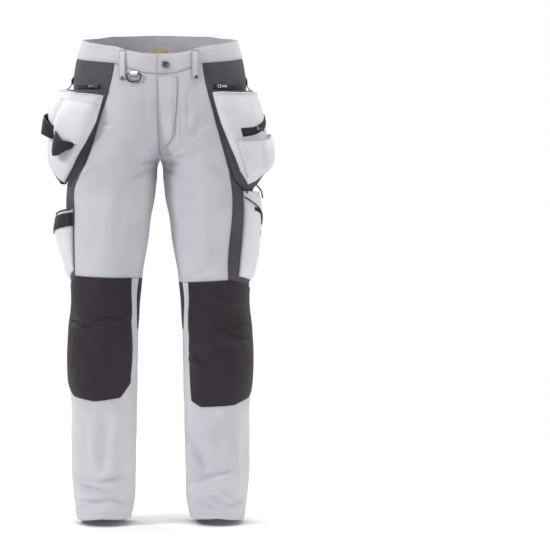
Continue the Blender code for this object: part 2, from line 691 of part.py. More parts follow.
def make_ring():
    """The trapezoid ring and the doubled tab that carries it below the waistband."""
    spot = surface_patch(RIGHT, "front", (-RING_X - 16, -RING_X, -RING_X + 16),
                         (RING_TOP_Z + 6, RING_TOP_Z, RING_FOOT_Z), 0.0)
    along = unit(spot.points[1, 0] - spot.points[1, 2])
    out = spot.normals[1, 1]
    stand_off = 5.0
    origin = spot.points[1, 1] + out * stand_off
    place = frame_at(origin, along, (0, 0, 1))
    drop = RING_FOOT_Z - RING_TOP_Z
    corners = [(-RING_HALF_TOP, 0), (RING_HALF_TOP, 0), (RING_HALF_FOOT, drop),
               (-RING_HALF_FOOT, drop)]
    path = []
    corner_cut = 0.16
    for k, (x, z) in enumerate(corners):
        for other, share in ((corners[k - 1], corner_cut), (corners[(k + 1) % 4], corner_cut)):
            path.append((x + (other[0] - x) * share, 0.0, z + (other[1] - z) * share))
    curve = bpy.data.curves.new("ring", "CURVE")
    curve.dimensions, curve.bevel_depth, curve.bevel_resolution = "3D", RING_BAR * MM, 2
    spline = curve.splines.new("POLY")
    spline.points.add(len(path) - 1)
    for point, (x, y, z) in zip(spline.points, path):
        point.co = (x * MM, y * MM, z * MM, 1)
    spline.use_cyclic_u = True
    curve.materials.append(material("plastic", "ring"))
    ring = bpy.data.objects.new("ring", curve)
    PARTS.objects.link(ring)
    ring.matrix_world = place

    eye = RING_BAR + 0.35
    half_tab, strap_height, strap_front = 8.5, 6.0, 0.6
    turned = Matrix.Rotation(math.pi / 2, 4, "Y")
    tab = disc("ring_tab", eye + 1.3, 2 * half_tab, "white_cloth", place, 16, turn=turned)
    strap_z = eye + 1.8
    right, inward, up = (np.array(place.col[k][:3]) for k in range(3))
    depth = GROUND.room(origin + up * strap_z, right, up, -inward, (2 * half_tab, strap_height))
    strap_back = depth - GAP
    strap = block("ring_tab_strap", (2 * half_tab, strap_back - strap_front, strap_height),
                  "white_cloth", place, centre=(0, (strap_back + strap_front) / 2, strap_z))
    join(tab, strap)
    cut(tab, disc("ring_tab_eye", eye, 2 * half_tab + 4, "white_cloth", place, 16, turn=turned))
    return place


def make_slider(label, origin, along, out, pull_length):
    """A zip slider with a cross pin, and the pull tab that swings on the pin."""
    place = frame_at(origin, along, out)
    foot = GAP
    body = block(f"zip_slider_{label}", (*SLIDER_SIZE, 2.2), "metal", place, 0.5,
                 (0, 0, foot + 1.1))
    pin_height, pin_radius, ear = foot + 4.4, 0.75, 0.9
    sideways = Matrix.Rotation(math.pi / 2, 4, "X")
    for k, y in (("a", -2.2), ("b", 2.2)):
        join(body, block(f"zip_slider_{label}_ear_{k}", (2.6, ear, 4.0), "metal", place,
                         centre=(0, y, foot + 3.4)))
    join(body, disc(f"zip_slider_{label}_pin", pin_radius, 4.6, "metal", place, 10,
                    (0, 0, pin_height), sideways))
    hinge = frame_at(np.array(place.translation) / MM + np.array(place.col[2][:3]) * pin_height,
                     along, out)
    tab_half, eye = 1.5, pin_radius + 0.3
    pull = disc(f"zip_pull_{label}", eye + 0.8, 2 * tab_half, "metal", hinge, 12, turn=sideways)
    join(pull, block(f"zip_pull_{label}_stem", (5.0, 2 * tab_half, 1.5), "metal", hinge,
                     centre=(3.4, 0, 0)))
    join(pull, block(f"zip_pull_{label}_tag", (pull_length, 5.0, 1.9), "metal", hinge,
                     centre=(4.5 + pull_length / 2, 0, 0)))
    cut(pull, disc(f"zip_pull_{label}_eye", eye, 2 * tab_half + 2, "metal", hinge, 12,
                   turn=sideways))
    return hinge


SLIDER_SIZE = (9, 7)
HAND_ZIP_Z = -90.0
HAND_SLIDER_X = {RIGHT: 138.0, LEFT: 128.0}
PULL_LENGTH = 13.0


def make_hand_zip(label, side):
    """The slider and pull of a hand pocket's zip, which runs round the hip."""
    x = HAND_SLIDER_X[side]
    spot = surface_patch(side, "front", (x - 3, x, x + 3), (HAND_ZIP_Z + 3, HAND_ZIP_Z, HAND_ZIP_Z - 3),
                         0.0)
    along, out = unit(spot.points[1, 2] - spot.points[1, 0]), spot.normals[1, 1]
    room = GROUND.room(spot.points[1, 1], along, np.cross(out, along), out, SLIDER_SIZE)
    return make_slider(f"hand_{label}", spot.points[1, 1] - out * room, along, out, PULL_LENGTH)


def holster_sheet(side):
    """The backing of a tool holster, hung from the waist and standing off the hip."""
    table = np.array(HOLSTERS[side], dtype=float)[::-1]
    heights = []
    marks = [row[0] for row in HOLSTERS[side]]
    for high, low in zip(marks, marks[1:]):
        steps = max(1, round((high - low) / HOLSTER_ROW))
        heights.extend(high + (low - high) * k / steps for k in range(steps))
    heights.append(marks[-1])
    z = np.array(heights)
    front, outer, back, bow = (smooth(z, table, k) for k in (1, 2, 3, 4))
    mid_x, half_x, _, _ = section_at(z)
    turn = np.arccos(np.clip((mid_x - front) / half_x, -1, 1))
    hip = plain_point(LEFT, turn, z) + plain_normal(LEFT, turn, z) * HIP_AIR
    start = hip[:, :2]
    end = np.stack([outer, back], axis=-1)
    line = end - start
    out = unit(np.stack([line[:, 1], -line[:, 0]], axis=-1))
    share = np.linspace(0, 1, HOLSTER_COLUMNS + 1)[None, :, None]
    curve = bow[:, None, None] * 4 * share * (1 - share)
    flat = start[:, None] + line[:, None] * share + out[:, None] * curve
    height = np.broadcast_to(z[:, None, None], flat.shape[:2] + (1,))
    points = np.concatenate([side * flat[..., :1], flat[..., 1:], height], axis=-1)
    for row, (at, level) in enumerate(zip(turn[z > SEWN_FOOT], z)):
        edge, hip_out = plain_point(side, at, level), plain_normal(side, at, level)
        points[row, 0] = edge - hip_out * (GROUND.below(edge, hip_out) - HEAVY - GAP)
    towards = np.broadcast_to(np.array([side * 0.7, -0.7, 0]), points.shape)
    return Sheet(points, towards).fresh_normals(), z


def rounded_fill(across, edge=0.16):
    """How full a pocket stands between its side edges, from 0 at each edge to 1 inside."""
    near = np.clip(np.minimum(across, 1 - across) / edge, 0, 1)
    return np.sqrt(1 - (1 - near) ** 2)


def make_holster(label, side):
    """A holster's dark backing and the white tool bag sewn on it, its mouth open."""
    backing, z = holster_sheet(side)
    wall(f"holster_back_{label}", backing.points, backing.raised(-HEAVY).points, "dark_cordura")
    rows = len(z) - 1
    bag = backing.take((0.25, rows - 0.9), (0.55, HOLSTER_COLUMNS - 0.25))
    down, across = bag.spread()
    drop = np.interp(down, [0, 0.3, 0.65, 0.9, 1], [11, 17, 17, 9, 0])
    fill = drop * rounded_fill(across)
    return backing, sewn(f"holster_bag_{label}", bag, "white_cloth", CLOTH, fill, LAY + 0.25)


def row_at(sheet, height, column=None):
    """The fractional row of a sheet nearest a height, down its middle column."""
    column = sheet.points.shape[1] // 2 if column is None else column
    z = sheet.points[:, column, 2]
    return float(np.interp(-height, -z, np.arange(len(z))))


def make_right_holster(face):
    """The right bag's upper pocket and the two webbing tool loops under it."""
    cols = face.points.shape[1] - 1
    pocket = face.take((row_at(face, -118), row_at(face, -176)), (0.5, cols - 0.7))
    down, across = pocket.spread()
    fill = 9 * rounded_fill(across) * np.sin(np.pi * (0.12 + 0.88 * down)) ** 0.5
    fill[-1] = 0
    sewn("holster_pocket_right", pocket, "white_cloth", 1.4, fill)
    for name, top, foot, first, last in (("inner", -184, -232, 1.3, 5.1),
                                         ("outer", -178, -208, 5.6, 8.7)):
        strap = face.take((row_at(face, top), row_at(face, foot)), (first, last), 2)
        _, across = strap.spread()
        sewn(f"tool_loop_{name}", strap, "webbing", 2.0, 17 * np.sin(np.pi * across) ** 0.7)


def slanted(sheet, start, end, width):
    """A strip across a sheet, its top going from one fraction of the height to another."""
    rows, cols = sheet.points.shape[:2]
    top, column = np.linspace(start, end, cols), np.arange(cols)
    points, normals = [], []
    for share in (0.0, 0.5, 1.0):
        down = (top + width * share) * (rows - 1)
        low = np.clip(np.floor(down).astype(int), 0, rows - 2)
        t = (down - low)[:, None]
        for values, made in ((sheet.points, points), (sheet.normals, normals)):
            made.append(values[low, column] * (1 - t) + values[low + 1, column] * t)
    return Sheet(np.array(points), unit(np.array(normals)))


def make_left_holster(face):
    """The left bag's slanted zip band and the pocket under it, with its standing fold."""
    cols = face.points.shape[1] - 1
    pocket = face.take((row_at(face, -206), row_at(face, -282)), (0.6, cols - 0.6))
    down, across = pocket.spread()
    fill = 8 * rounded_fill(across) * np.cos(np.pi * down / 2) ** 0.6
    fold = 3.5 * np.exp(-((across - 0.5) / 0.1) ** 2) * np.sin(np.pi * down)
    sewn("holster_pocket_left", pocket, "white_cloth", 1.4, np.maximum(fill - fold, 0))
    band = face.take((row_at(face, -150), row_at(face, -196)), (3.6, cols - 0.4))
    tape = sewn("holster_zip_left", slanted(band, 0.62, 0.08, 0.3), "dark_cordura", 1.4, 0.0,
                LAY + 0.5)
    out = tape.normals[1, 1]
    along = unit(tape.points[1, 2] - tape.points[1, 0])
    downhill = unit(np.cross(out, np.cross((0, 0, 1), out)))
    make_slider("holster_left", tape.points[1, 1], unit(along - 0.75 * downhill), out, PULL_LENGTH)


CARGO = {"top": -326, "foot": -520, "flap_foot": -402}
RULER = {"top": -372, "foot": -516, "strap_top": -384, "strap_foot": -416}


def make_cargo_pocket():
    """The left thigh pocket: a full bag, with a flap over its mouth."""
    under = BODY[LEFT]
    rows = [row_at(under, CARGO[end], COL["outseam"]) for end in ("top", "foot")]
    bag = under.take(rows, (COL["front_seam"] + 1, COL["back_seam"] - 0.8), 2)
    down, across = bag.spread()
    full = np.interp(down, [0, 0.35, 0.7, 0.92, 1], [9, 15, 15, 8, 0])
    face = sewn("cargo_pocket", bag, "white_cloth", CLOTH, full * rounded_fill(across, 0.2),
                LAY + 0.3)
    flap = face.take((0, row_at(face, CARGO["flap_foot"])), (0, face.points.shape[1] - 1))
    sewn("cargo_flap", flap, "white_cloth", 1.6, 1.5 * flap.spread()[0], LAY + 0.3)


def make_ruler_pocket():
    """The right thigh's narrow pocket, with a webbing strap round it."""
    under = BODY[RIGHT]
    rows = [row_at(under, RULER[end], COL["outseam"]) for end in ("top", "foot")]
    bag = under.take(rows, (COL["front_seam"] + 0.24, COL["back_seam"] - 0.24), 2)
    down, across = bag.spread()
    full = np.interp(down, [0, 0.25, 0.6, 0.9, 1], [19, 25, 17, 7, 0])
    face = sewn("ruler_pocket", bag, "white_cloth", CLOTH, full * rounded_fill(across, 0.3))
    ends = [row_at(face, RULER[end]) for end in ("strap_top", "strap_foot")]
    strap = face.take(ends, (0, face.points.shape[1] - 1))
    sewn("ruler_strap", strap, "webbing", 1.6, 0.0, LAY + 0.2)


def tube(name, points, radius, finish):
    """A cord as a bevelled curve through a smooth line of points."""
    curve = bpy.data.curves.new(name, "CURVE")
    curve.dimensions, curve.bevel_depth, curve.bevel_resolution = "3D", radius * MM, 2
    curve.use_fill_caps = True
    spline = curve.splines.new("POLY")
    spline.points.add(len(points) - 1)
    for point, at in zip(spline.points, points):
        point.co = (*(np.array(at) * MM), 1)
    curve.materials.append(material(finish, name))
    obj = bpy.data.objects.new(name, curve)
    PARTS.objects.link(obj)
    return obj


def smooth_route(marks, spacing):
    """Points about a spacing apart on a smooth curve through a route's own points."""
    marks = np.array(marks, dtype=float)
    at = np.concatenate([[0], np.cumsum(np.linalg.norm(np.diff(marks, axis=0), axis=1))])
    count = max(4, round(at[-1] / spacing))
    stations = np.linspace(0, at[-1], count + 1)
    table = np.column_stack([at, marks])
    return np.stack([smooth(stations, table, k) for k in (1, 2, 3)], axis=-1)


CORD_RADIUS = 1.6
HOLSTER_CORD_Z = -304          # where the cord leaves the left holster's outer edge
HOLSTER_CORD_DROP = [(9, 5, -13), (12, 6, -22), (13, 6.5, -31)]
KNEE_CORD_START = (40, -655)   # depth and height at which the cord leaves the right knee
KNEE_CORD_DROP = [(-4.4, 3.4, -2), (-6.2, 4.8, -8), (-7, 5.6, -18), (-7.6, 6, -36), (-8, 6, -56),
                  (-8, 6, -70)]
TOGGLE_RADIUS, TOGGLE_LENGTH = 3.2, 19.0


def make_cords(left_backing):
    """The holster's short cord and the knee's longer one, which ends in a toggle."""
    row = row_at(left_backing, HOLSTER_CORD_Z, -1)
    corner = left_backing.take((row, row + 1), (HOLSTER_COLUMNS - 1, HOLSTER_COLUMNS))
    edge, edge_out = corner.points[0, -1], corner.normals[0, -1]
    down = unit(corner.points[-1, -1] - edge)
    across = unit(edge - corner.points[0, 0])
    away = unit(across - down * np.dot(across, down))
    start = edge - edge_out * HEAVY / 2 + away * GAP
    route = [start, start + away * 4, *(start + np.array(drop) for drop in HOLSTER_CORD_DROP)]
    tube("cord_holster", smooth_route(route, 5), CORD_RADIUS, "webbing")

    depth, height = KNEE_CORD_START
    foot, out = GROUND.foot((-230.0, depth, height), (-1.0, 0.0, 0.0))
    start = foot + out * GAP
    route = [start, start + out * 3, *(start + np.array(drop) for drop in KNEE_CORD_DROP)]
    tube("cord_knee", smooth_route(route, 3.5), CORD_RADIUS, "webbing")
    end = route[-1] - (0, 0, GAP / 2 + TOGGLE_LENGTH / 2)
    toggle = disc("cord_toggle", TOGGLE_RADIUS, TOGGLE_LENGTH, "plastic",
                  Matrix.Translation(Vector(end) * MM), 10)
    rounded = toggle.modifiers.new("rounded", "BEVEL")
    rounded.width, rounded.segments = 1.0 * MM, 1


BUCKLE = {"top": 14.0, "foot": 31.0, "height": 50.0, "thick": 4.0}


def make_hip_hardware(label, side, backing):
    """A wedge buckle on the hip, its strap to the holster and the strap's ladder adjuster."""
    angle, z = np.array([math.pi + 0.5]), np.array([-27.0])
    point, normal = body_point(side, angle, z)
    lean = 0.16
    out = unit(normal[0] * (1, 1, 0))
    down = unit(np.array([0, 0, -1.0]) + out * lean)
    out = unit(out - down * np.dot(out, down))
    right = np.cross(down, out)
    size = (BUCKLE["foot"], BUCKLE["height"], BUCKLE["thick"])
    room = GROUND.room(point[0], right, down, out, size)
    centre = point[0] + out * (GAP + BUCKLE["thick"] / 2 - room)
    place = frame_at(centre, right, out)
    half_height = BUCKLE["height"] / 2
    body = block(f"hip_buckle_{label}", size, "plastic", place)
    down_is_y = 1.0 if np.dot(np.array(place.col[1][:3]), down) > 0 else -1.0
    for vertex in body.data.vertices:
        if vertex.co.y * down_is_y < 0:
            vertex.co.x *= BUCKLE["top"] / BUCKLE["foot"]
    soft = body.modifiers.new("soft", "BEVEL")
    soft.width, soft.segments = 1.0 * MM, 1
    cut(body, block(f"hip_buckle_{label}_slot", (8, 3.6, 12), "plastic", place,
                    centre=(0, -down_is_y * (half_height - 7), 0)))
    cut(body, block(f"hip_buckle_{label}_foot_slot", (19, 3.4, 12), "plastic", place,
                    centre=(0, down_is_y * (half_height - 6), 0)))
    make_holster_strap(label, centre + down * (half_height + GAP), right, out, backing)


STRAP = {"half_width": 6.0, "thick": 2.0, "stations": 7, "column": 7.5, "rows": (0.1, 0.8)}


def make_holster_strap(label, start, across, out, backing):
    """The strap from the buckle's foot down to the back of the holster, and its adjuster."""
    half = STRAP["thick"] / 2
    held = backing.take(STRAP["rows"], (STRAP["column"], HOLSTER_COLUMNS))
    ends = held.points[[0, -1], 0] - held.normals[[0, -1], 0] * (HEAVY + 2 * GAP + half)
    end_out = held.normals[0, 0]
    end_across = unit(held.points[0, -1] - held.points[0, 0])
    end_across = end_across * np.sign(np.dot(end_across, across))
    middles, acrosses, outs = [], [], []
    for share in np.linspace(0, 1, STRAP["stations"]):
        turn = share**2 * (3 - 2 * share)
        side_way, face = unit(across * (1 - turn) + end_across * turn), out * (1 - turn) + end_out * turn
        face = unit(face - side_way * np.dot(face, side_way))
        middle = start + (ends[0] - start) * share
        if 0 < share < 1:
            clear = min(GROUND.below(middle + side_way * k * STRAP["half_width"], face)
                        for k in (-1, -0.5, 0, 0.5, 1))
            middle = middle + face * max(0.0, half + 3 * GAP - clear)
        middles.append(middle)
        acrosses.append(side_way)
        outs.append(face)
    middles, acrosses, outs = [*middles, ends[1]], [*acrosses, end_across], [*outs, end_out]
    middles, acrosses, outs = np.array(middles), np.array(acrosses), np.array(outs)
    reach = np.array([-1, 0, 1])[None, :, None] * STRAP["half_width"]
    ribbon = Sheet(middles[:, None] + acrosses[:, None] * reach, np.repeat(outs[:, None], 3, axis=1))
    wall(f"holster_strap_{label}", ribbon.raised(half).points, ribbon.raised(-half).points,
         "webbing")
    k = STRAP["stations"] // 2
    face = outs[k]
    along = unit(middles[k + 1] - middles[k - 1])
    face = unit(face - along * np.dot(face, along))
    size = (17, 22, 3.2)
    side_way = np.cross(along, face)
    room = Ground(ribbon.raised(half)).room(middles[k], side_way, along, face, size)
    spot = middles[k] + face * (GAP + size[2] / 2 - room)
    block(f"adjuster_{label}", size, "plastic", frame_at(spot, side_way, face), 0.8)


def make_label():
    """A plain folded side label at the right back pocket's outer edge."""
    under = surface_patch(RIGHT, "back", (189, 186), (-181, -209), 0.0)
    out = under.normals[0, 0]
    size = (9, 26, 1.2)
    centre = under.points.mean(axis=(0, 1))
    place = frame_at(centre, (0.55, 0.83, 0), out)
    right, up, out = (np.array(place.col[k][:3]) for k in range(3))
    room = GROUND.room(centre, right, up, out, size)
    place.translation += Vector(out * (GAP + size[2] / 2 - room)) * MM
    block("side_label", size, "label_cloth", place)


def main():
    """Build every piece."""
    for label, side in SIDES.items():
        make_body(label, side)
        make_back_pocket(label, side)
        make_hand_zip(label, side)
    make_waistband()
    make_fly()
    make_button()
    make_belt_loop("belt_loop_front_right", RIGHT, "front", 80.5, 13, -12, -75)
    make_belt_loop("belt_loop_front_left", LEFT, "front", 76, 15, -12, -73)
    make_belt_loop("belt_loop_back_right", RIGHT, "back", 112, 14, 15, -40)
    make_belt_loop("belt_loop_back_left", LEFT, "back", 112, 14, 15, -40)
    make_belt_loop("belt_loop_centre", LEFT, "back", 6, 34, 20, -44, -37)
    make_ring()
    right_backing, right_face = make_holster("right", RIGHT)
    left_backing, left_face = make_holster("left", LEFT)
    make_right_holster(right_face)
    make_left_holster(left_face)
    make_hip_hardware("right", RIGHT, right_backing)
    make_hip_hardware("left", LEFT, left_backing)
    make_cargo_pocket()
    make_ruler_pocket()
    make_cords(left_backing)
    make_label()


clear_scene()
PARTS = new_collection("work_trousers")
CUTTERS = new_collection("cutters")
BODY = {side: body_grid(side) for side in SIDES.values()}
GROUND = Ground(*BODY.values(), *(band_sheet(side).raised(BAND_LIFT) for side in SIDES.values()))
main()
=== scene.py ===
"""Looks of the white work trousers: cloth, sewing, hardware, light and camera.

Lengths are worked out in millimetres in the frame's own axes and written in metres.
X is sideways (the wearer's left is +X), -Y is the front, Z is up, and the origin is the
centre of the waist opening. A place on the cloth is given by its side, its place round the
side on a scale of 30 (0 is the centre front or inseam, 15 the outseam, 30 the centre back)
and its height.
"""

import logging
import math
from collections.abc import Callable
from dataclasses import dataclass, field
from enum import Enum

import bpy
import numpy as np
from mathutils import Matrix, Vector


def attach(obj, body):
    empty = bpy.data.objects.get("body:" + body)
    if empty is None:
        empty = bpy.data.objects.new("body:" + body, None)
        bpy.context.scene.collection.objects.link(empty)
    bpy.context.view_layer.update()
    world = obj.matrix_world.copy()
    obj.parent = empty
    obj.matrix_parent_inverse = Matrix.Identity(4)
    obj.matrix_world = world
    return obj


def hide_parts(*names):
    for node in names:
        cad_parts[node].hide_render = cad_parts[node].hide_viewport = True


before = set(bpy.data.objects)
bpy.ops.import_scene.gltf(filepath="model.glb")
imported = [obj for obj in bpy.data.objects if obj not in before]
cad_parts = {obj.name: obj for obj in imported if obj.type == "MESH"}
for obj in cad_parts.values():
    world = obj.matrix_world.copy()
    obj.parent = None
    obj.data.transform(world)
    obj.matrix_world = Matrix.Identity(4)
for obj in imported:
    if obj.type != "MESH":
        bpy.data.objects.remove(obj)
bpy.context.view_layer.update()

LOG = logging.getLogger("trousers")
MM = 0.001
ROOT = "root"
CLOTH, HEAVY = 1.5, 1.8        # walls of the body cloth and of the hard-wearing cloth
HALF_SEAM = 0.17               # each piece stops this far short of its seam line
LAY = 0.5                      # air between a sewn-on piece and the cloth under it
CELL = 3.4                     # usual size of a grid cell
PLACE_WIDTH = 15.5             # cloth round the body for one step of the scale of 30
KNEE, KNEE_RUN = 540, 60       # how far down creases start to deepen, and over how much
TEETH = (2.4, 1.1, 0.55, 1.5)  # length, width, height and pitch of zip teeth
LEAST_SHEET = 10.1             # least width and height taken for a sheet's worked-out size
# The second look is a lighter copy of the white twill, painted light: pockets and bags coloured as more
# lit than the legs.
WHITE, LIT_COPY = ("white_twill", "white_cloth"), ("bright_twill", "white_cloth")
NUBBY, WEBBING = ("dark_nubby", "dark_cordura"), ("black_webbing", "webbing")
PATCH, LABEL = ("anthracite", "patch_cordura"), ("yellow_label", "label_cloth")
PIPED = ("white_thread", "white_cloth")


class Side(Enum):
    """The wearer's two sides, by the sign of X."""

    RIGHT = -1
    LEFT = 1

    @property
    def label(self) -> str:
        """The word that the side's nodes end in."""
        return self.name.lower()


class Face(Enum):
    """The two faces of a leg."""

    FRONT = 1
    BACK = -1


# Body sections: height, outer and inner edge from the centre plane, front and back reach.
SECTIONS = np.array([
    (-1070, 181, 72, -67, 94), (-1047, 185, 67, -67, 94), (-1021, 189, 60, -68, 93),
    (-999, 192, 57, -69, 92), (-955, 196, 55, -71, 90), (-889, 197, 54, -74, 87),
    (-779, 197, 52, -80, 80), (-735, 202, 51, -83, 76), (-625, 200, 48, -91, 68),
    (-559, 194, 44, -95, 70), (-515, 196, 40, -97, 76), (-471, 200, 34, -98, 84),
    (-427, 204, 26, -100, 93), (-383, 206, 21, -102, 102), (-339, 206, 12, -104, 112),
    (-295, 203, 7, -106, 122), (-254, 196, 0.6, -109, 134), (-240, 195, -10, -111, 139),
    (-220, 194, -24, -114, 144), (-190, 191, -48, -118, 147), (-163, 189, -66, -121, 147),
    (-125, 189, -95, -124, 143), (-75, 189, -135, -122, 134), (-31, 182, -161, -118, 126),
    (14, 169, -169, -110, 120), (40, 164, -164, -107, 117),
], dtype=float)

# Where the long seams and guide lines run: height and distance from the centre plane.
KEYS = {
    (Side.RIGHT, "front_key"): [(-1060, 84), (-900, 76), (-740, 66), (-625, 62), (-505, 62),
                                (-400, 52), (-300, 34), (-254, 13), (-240, 12), (-225, 17),
                                (-200, 27), (-160, 33), (40, 33)],
    (Side.RIGHT, "front_seam"): [(-1060, 165), (-800, 178), (-493, 187), (-372, 187), (-304, 184),
                                 (-268, 166), (-158, 129), (-57, 101), (40, 92)],
    (Side.RIGHT, "back_seam"): [(-1060, 160), (-800, 165), (-526, 168), (-366, 183), (-271, 184),
                                (-244, 190), (-147, 173), (-57, 150), (40, 132)],
    (Side.RIGHT, "back_key"): [(-1060, 85), (-640, 70), (-510, 66), (-400, 58), (-300, 52),
                               (-225, 55), (-202, 53), (-100, 48), (-60, 46), (40, 44)],
    (Side.LEFT, "front_key"): [(-1060, 84), (-900, 76), (-780, 68), (-625, 61), (-505, 61),
                               (-400, 52), (-300, 34), (-254, 13), (-240, 12), (-225, 17),
                               (-200, 27), (-160, 33), (40, 33)],
    (Side.LEFT, "front_seam"): [(-1060, 160), (-800, 172), (-620, 168), (-515, 149), (-306, 155),
                                (-288, 152), (-158, 118), (-57, 94), (40, 88)],
    (Side.LEFT, "back_seam"): [(-1060, 155), (-800, 155), (-634, 138), (-532, 106), (-504, 104),
                               (-304, 138), (-240, 190), (-147, 176), (-57, 155), (40, 135)],
    (Side.LEFT, "back_key"): [(-1060, 85), (-640, 70), (-510, 62), (-400, 56), (-300, 52),
                              (-225, 55), (-202, 53), (-100, 48), (-60, 46), (40, 44)],
}
KEY_PLACES = {"front": 0, "front_key": 3, "front_seam": 12, "outseam": 15, "back_seam": 18,
              "back_key": 27, "back": 30}

# Heights of the cross seams at some places round a side.
ROWS = {
    "band_foot": [(0, -64), (3, -61), (9, -48), (12, -40), (15, -31), (21, -26), (27, -20),
                  (30, -18)],
    "pocket_top": [(0, -95), (12, -88), (15, -86), (18, -94), (27, -68), (30, -62)],
    "pocket_band": [(0, -125), (12, -130), (15, -135), (18, -146), (27, -100), (30, -95)],
    "pocket_foot": [(0, -239), (3, -236), (12, -236), (15, -240), (18, -246), (22, -268),
                    (26, -226), (27, -203), (30, -190)],
    "crotch": [(0, -254), (3, -256), (12, -276), (15, -285), (18, -290), (22, -302), (26, -275),
               (27, -266), (30, -254)],
    "thigh_foot": [(0, -509), (12, -503), (15, -531), (18, -531), (27, -514), (30, -509)],
    "knee_back_foot": [(0, -622), (12, -632), (18, -634), (30, -622)],
    "patch_foot": [(0, -735), (3, -738), (5, -770), (9, -777), (13, -769), (15, -740),
                   (18, -745), (30, -735)],
    "guard_top": [(0, -954), (8, -985), (15, -1001), (22, -990), (26, -978), (30, -954)],
    "hem": [(0, -1044), (8, -1038), (15, -1047), (23, -1054), (30, -1044)],
    "waist_top": [(0, -19), (4, -17), (8, -12), (12, -3), (15, 11), (21, 20), (30, 23)],
}
LEFT_ROWS = {
    "thigh_foot": [(0, -519), (12, -512), (15, -534), (18, -534), (27, -516), (30, -519)],
    "patch_foot": [(0, -772), (3, -778), (5, -791), (11, -787), (14, -772), (15, -757),
                   (18, -760), (30, -772)],
}

# How far the inseam turns forward round the knee, where the stretch cloth shows beside the patch.
INSEAM_TURN = [(-1100, 0.0), (-740, 0.0), (-680, 0.05), (-630, 0.22), (-580, 0.4), (-540, 0.46),
               (-510, 0.42), (-470, 0.22), (-410, 0.0), (40, 0.0)]

# The main folds, as soft troughs with round ends: across and height of the start and of the
# end, depth and width. The finer creases after them have a low ridge on one side. They spread
# from the crotch and the pockets, fall down thigh and shin, cross the knee and stack at the hem.
FOLDS = {
    (Side.RIGHT, Face.FRONT): [
        (78, -606, 190, -590, 5.0, 17), (70, -938, 155, -958, 4.5, 16),
        (105, -984, 188, -964, 4.5, 15), (68, -1002, 140, -1000, 3.0, 15),
        (10, -262, 70, -232, 3.0, 16),
    ],
    (Side.LEFT, Face.FRONT): [
        (80, -560, 160, -604, 4.5, 18), (78, -640, 180, -684, 4.5, 18), (62, -868, 98, -936, 4.5, 17),
        (70, -962, 160, -932, 4.5, 16), (110, -1010, 192, -994, 3.5, 15),
        (10, -262, 74, -240, 3.0, 16),
    ],
    (Side.RIGHT, Face.BACK): [
        (50, -312, 150, -296, 5.0, 20), (66, -574, 176, -590, 4.0, 20),
        (80, -880, 170, -912, 4.0, 22),
    ],
    (Side.LEFT, Face.BACK): [
        (50, -312, 150, -296, 5.0, 20), (66, -580, 176, -568, 4.0, 20),
        (84, -900, 172, -868, 4.0, 22),
    ],
}
CREASES = {
    (Side.RIGHT, Face.FRONT): [
        (3, -243, 38, -236, 1.8, 4.5), (5, -252, 44, -259, 2.0, 5), (4, -234, 30, -224, 1.2, 4),
        (16, -268, 66, -288, 1.6, 7), (26, -110, 30, -215, 0.8, 6), (98, -178, 131, -168, 1.3, 5),
        (104, -150, 66, -214, 1.2, 11), (176, -296, 140, -268, 1.6, 7),
        (118, -270, 150, -480, 2.2, 20), (70, -300, 96, -440, 1.6, 16),
        (150, -500, 176, -470, 1.2, 6), (112, -782, 128, -944, 2.6, 15),
        (168, -800, 160, -930, 1.6, 12), (192, -603, 142, -617, 2.4, 6),
        (70, -586, 130, -598, 1.6, 7), (150, -640, 128, -742, 1.8, 20), (96, -640, 82, -720, 1.4, 16),
        (142, -958, 76, -937, 2.0, 6), (189, -966, 106, -980, 2.2, 6.5),
        (186, -1003, 112, -998, 2.0, 6), (136, -988, 70, -1004, 1.8, 6),
        (186, -1021, 156, -1011, 1.4, 5),
    ],
    (Side.LEFT, Face.FRONT): [
        (6, -239, 52, -228, 1.8, 4.5), (8, -246, 60, -247, 1.6, 5), (8, -252, 58, -268, 2.2, 5.5),
        (18, -268, 58, -300, 1.5, 7), (29, -92, 35, -212, 1.1, 4.5), (44, -118, 46, -222, 1.0, 4.5),
        (58, -100, 62, -190, 0.8, 6), (98, -146, 70, -206, 1.2, 11), (84, -180, 116, -172, 1.2, 5),
        (148, -290, 118, -262, 1.6, 7), (112, -300, 124, -500, 2.2, 20),
        (66, -290, 84, -440, 1.6, 16), (72, -508, 110, -486, 1.2, 6), (120, -798, 132, -920, 1.8, 16),
        (178, -850, 186, -1000, 2.0, 10), (70, -536, 186, -566, 1.8, 9),
        (118, -620, 192, -646, 2.2, 7), (126, -622, 190, -612, 1.6, 6),
        (62, -675, 106, -709, 2.0, 4.5), (128, -650, 118, -770, 1.8, 20),
        (64, -964, 157, -931, 2.2, 6), (61, -868, 98, -938, 2.6, 7), (122, -972, 170, -998, 2.0, 6),
        (144, -1016, 193, -998, 2.0, 6), (96, -990, 150, -1012, 1.4, 6),
        (72, -1004, 112, -1016, 1.3, 5),
    ],
    (Side.RIGHT, Face.BACK): [
        (7, -284, 40, -308, 2.4, 6), (28, -309, 110, -314, 2.2, 6), (90, -292, 156, -286, 1.3, 8),
        (34, -215, 20, -150, 1.2, 9), (96, -330, 110, -500, 1.8, 20), (150, -470, 160, -516, 1.4, 8),
        (74, -552, 150, -566, 1.6, 8), (100, -604, 180, -596, 1.6, 8),
        (156, -740, 180, -880, 2.2, 11), (96, -800, 150, -960, 2.2, 14),
        (72, -660, 78, -800, 1.4, 12),
    ],
    (Side.LEFT, Face.BACK): [
        (18, -294, 134, -309, 2.2, 6), (14, -276, 62, -300, 1.8, 6), (90, -320, 150, -330, 1.2, 8),
        (30, -215, 22, -140, 1.2, 9), (76, -330, 90, -500, 1.8, 20), (70, -560, 140, -548, 1.6, 8),
        (96, -600, 176, -588, 1.6, 8), (147, -690, 166, -880, 2.2, 12),
        (76, -720, 112, -930, 2.0, 18), (140, -860, 180, -846, 1.2, 7),
    ],
}


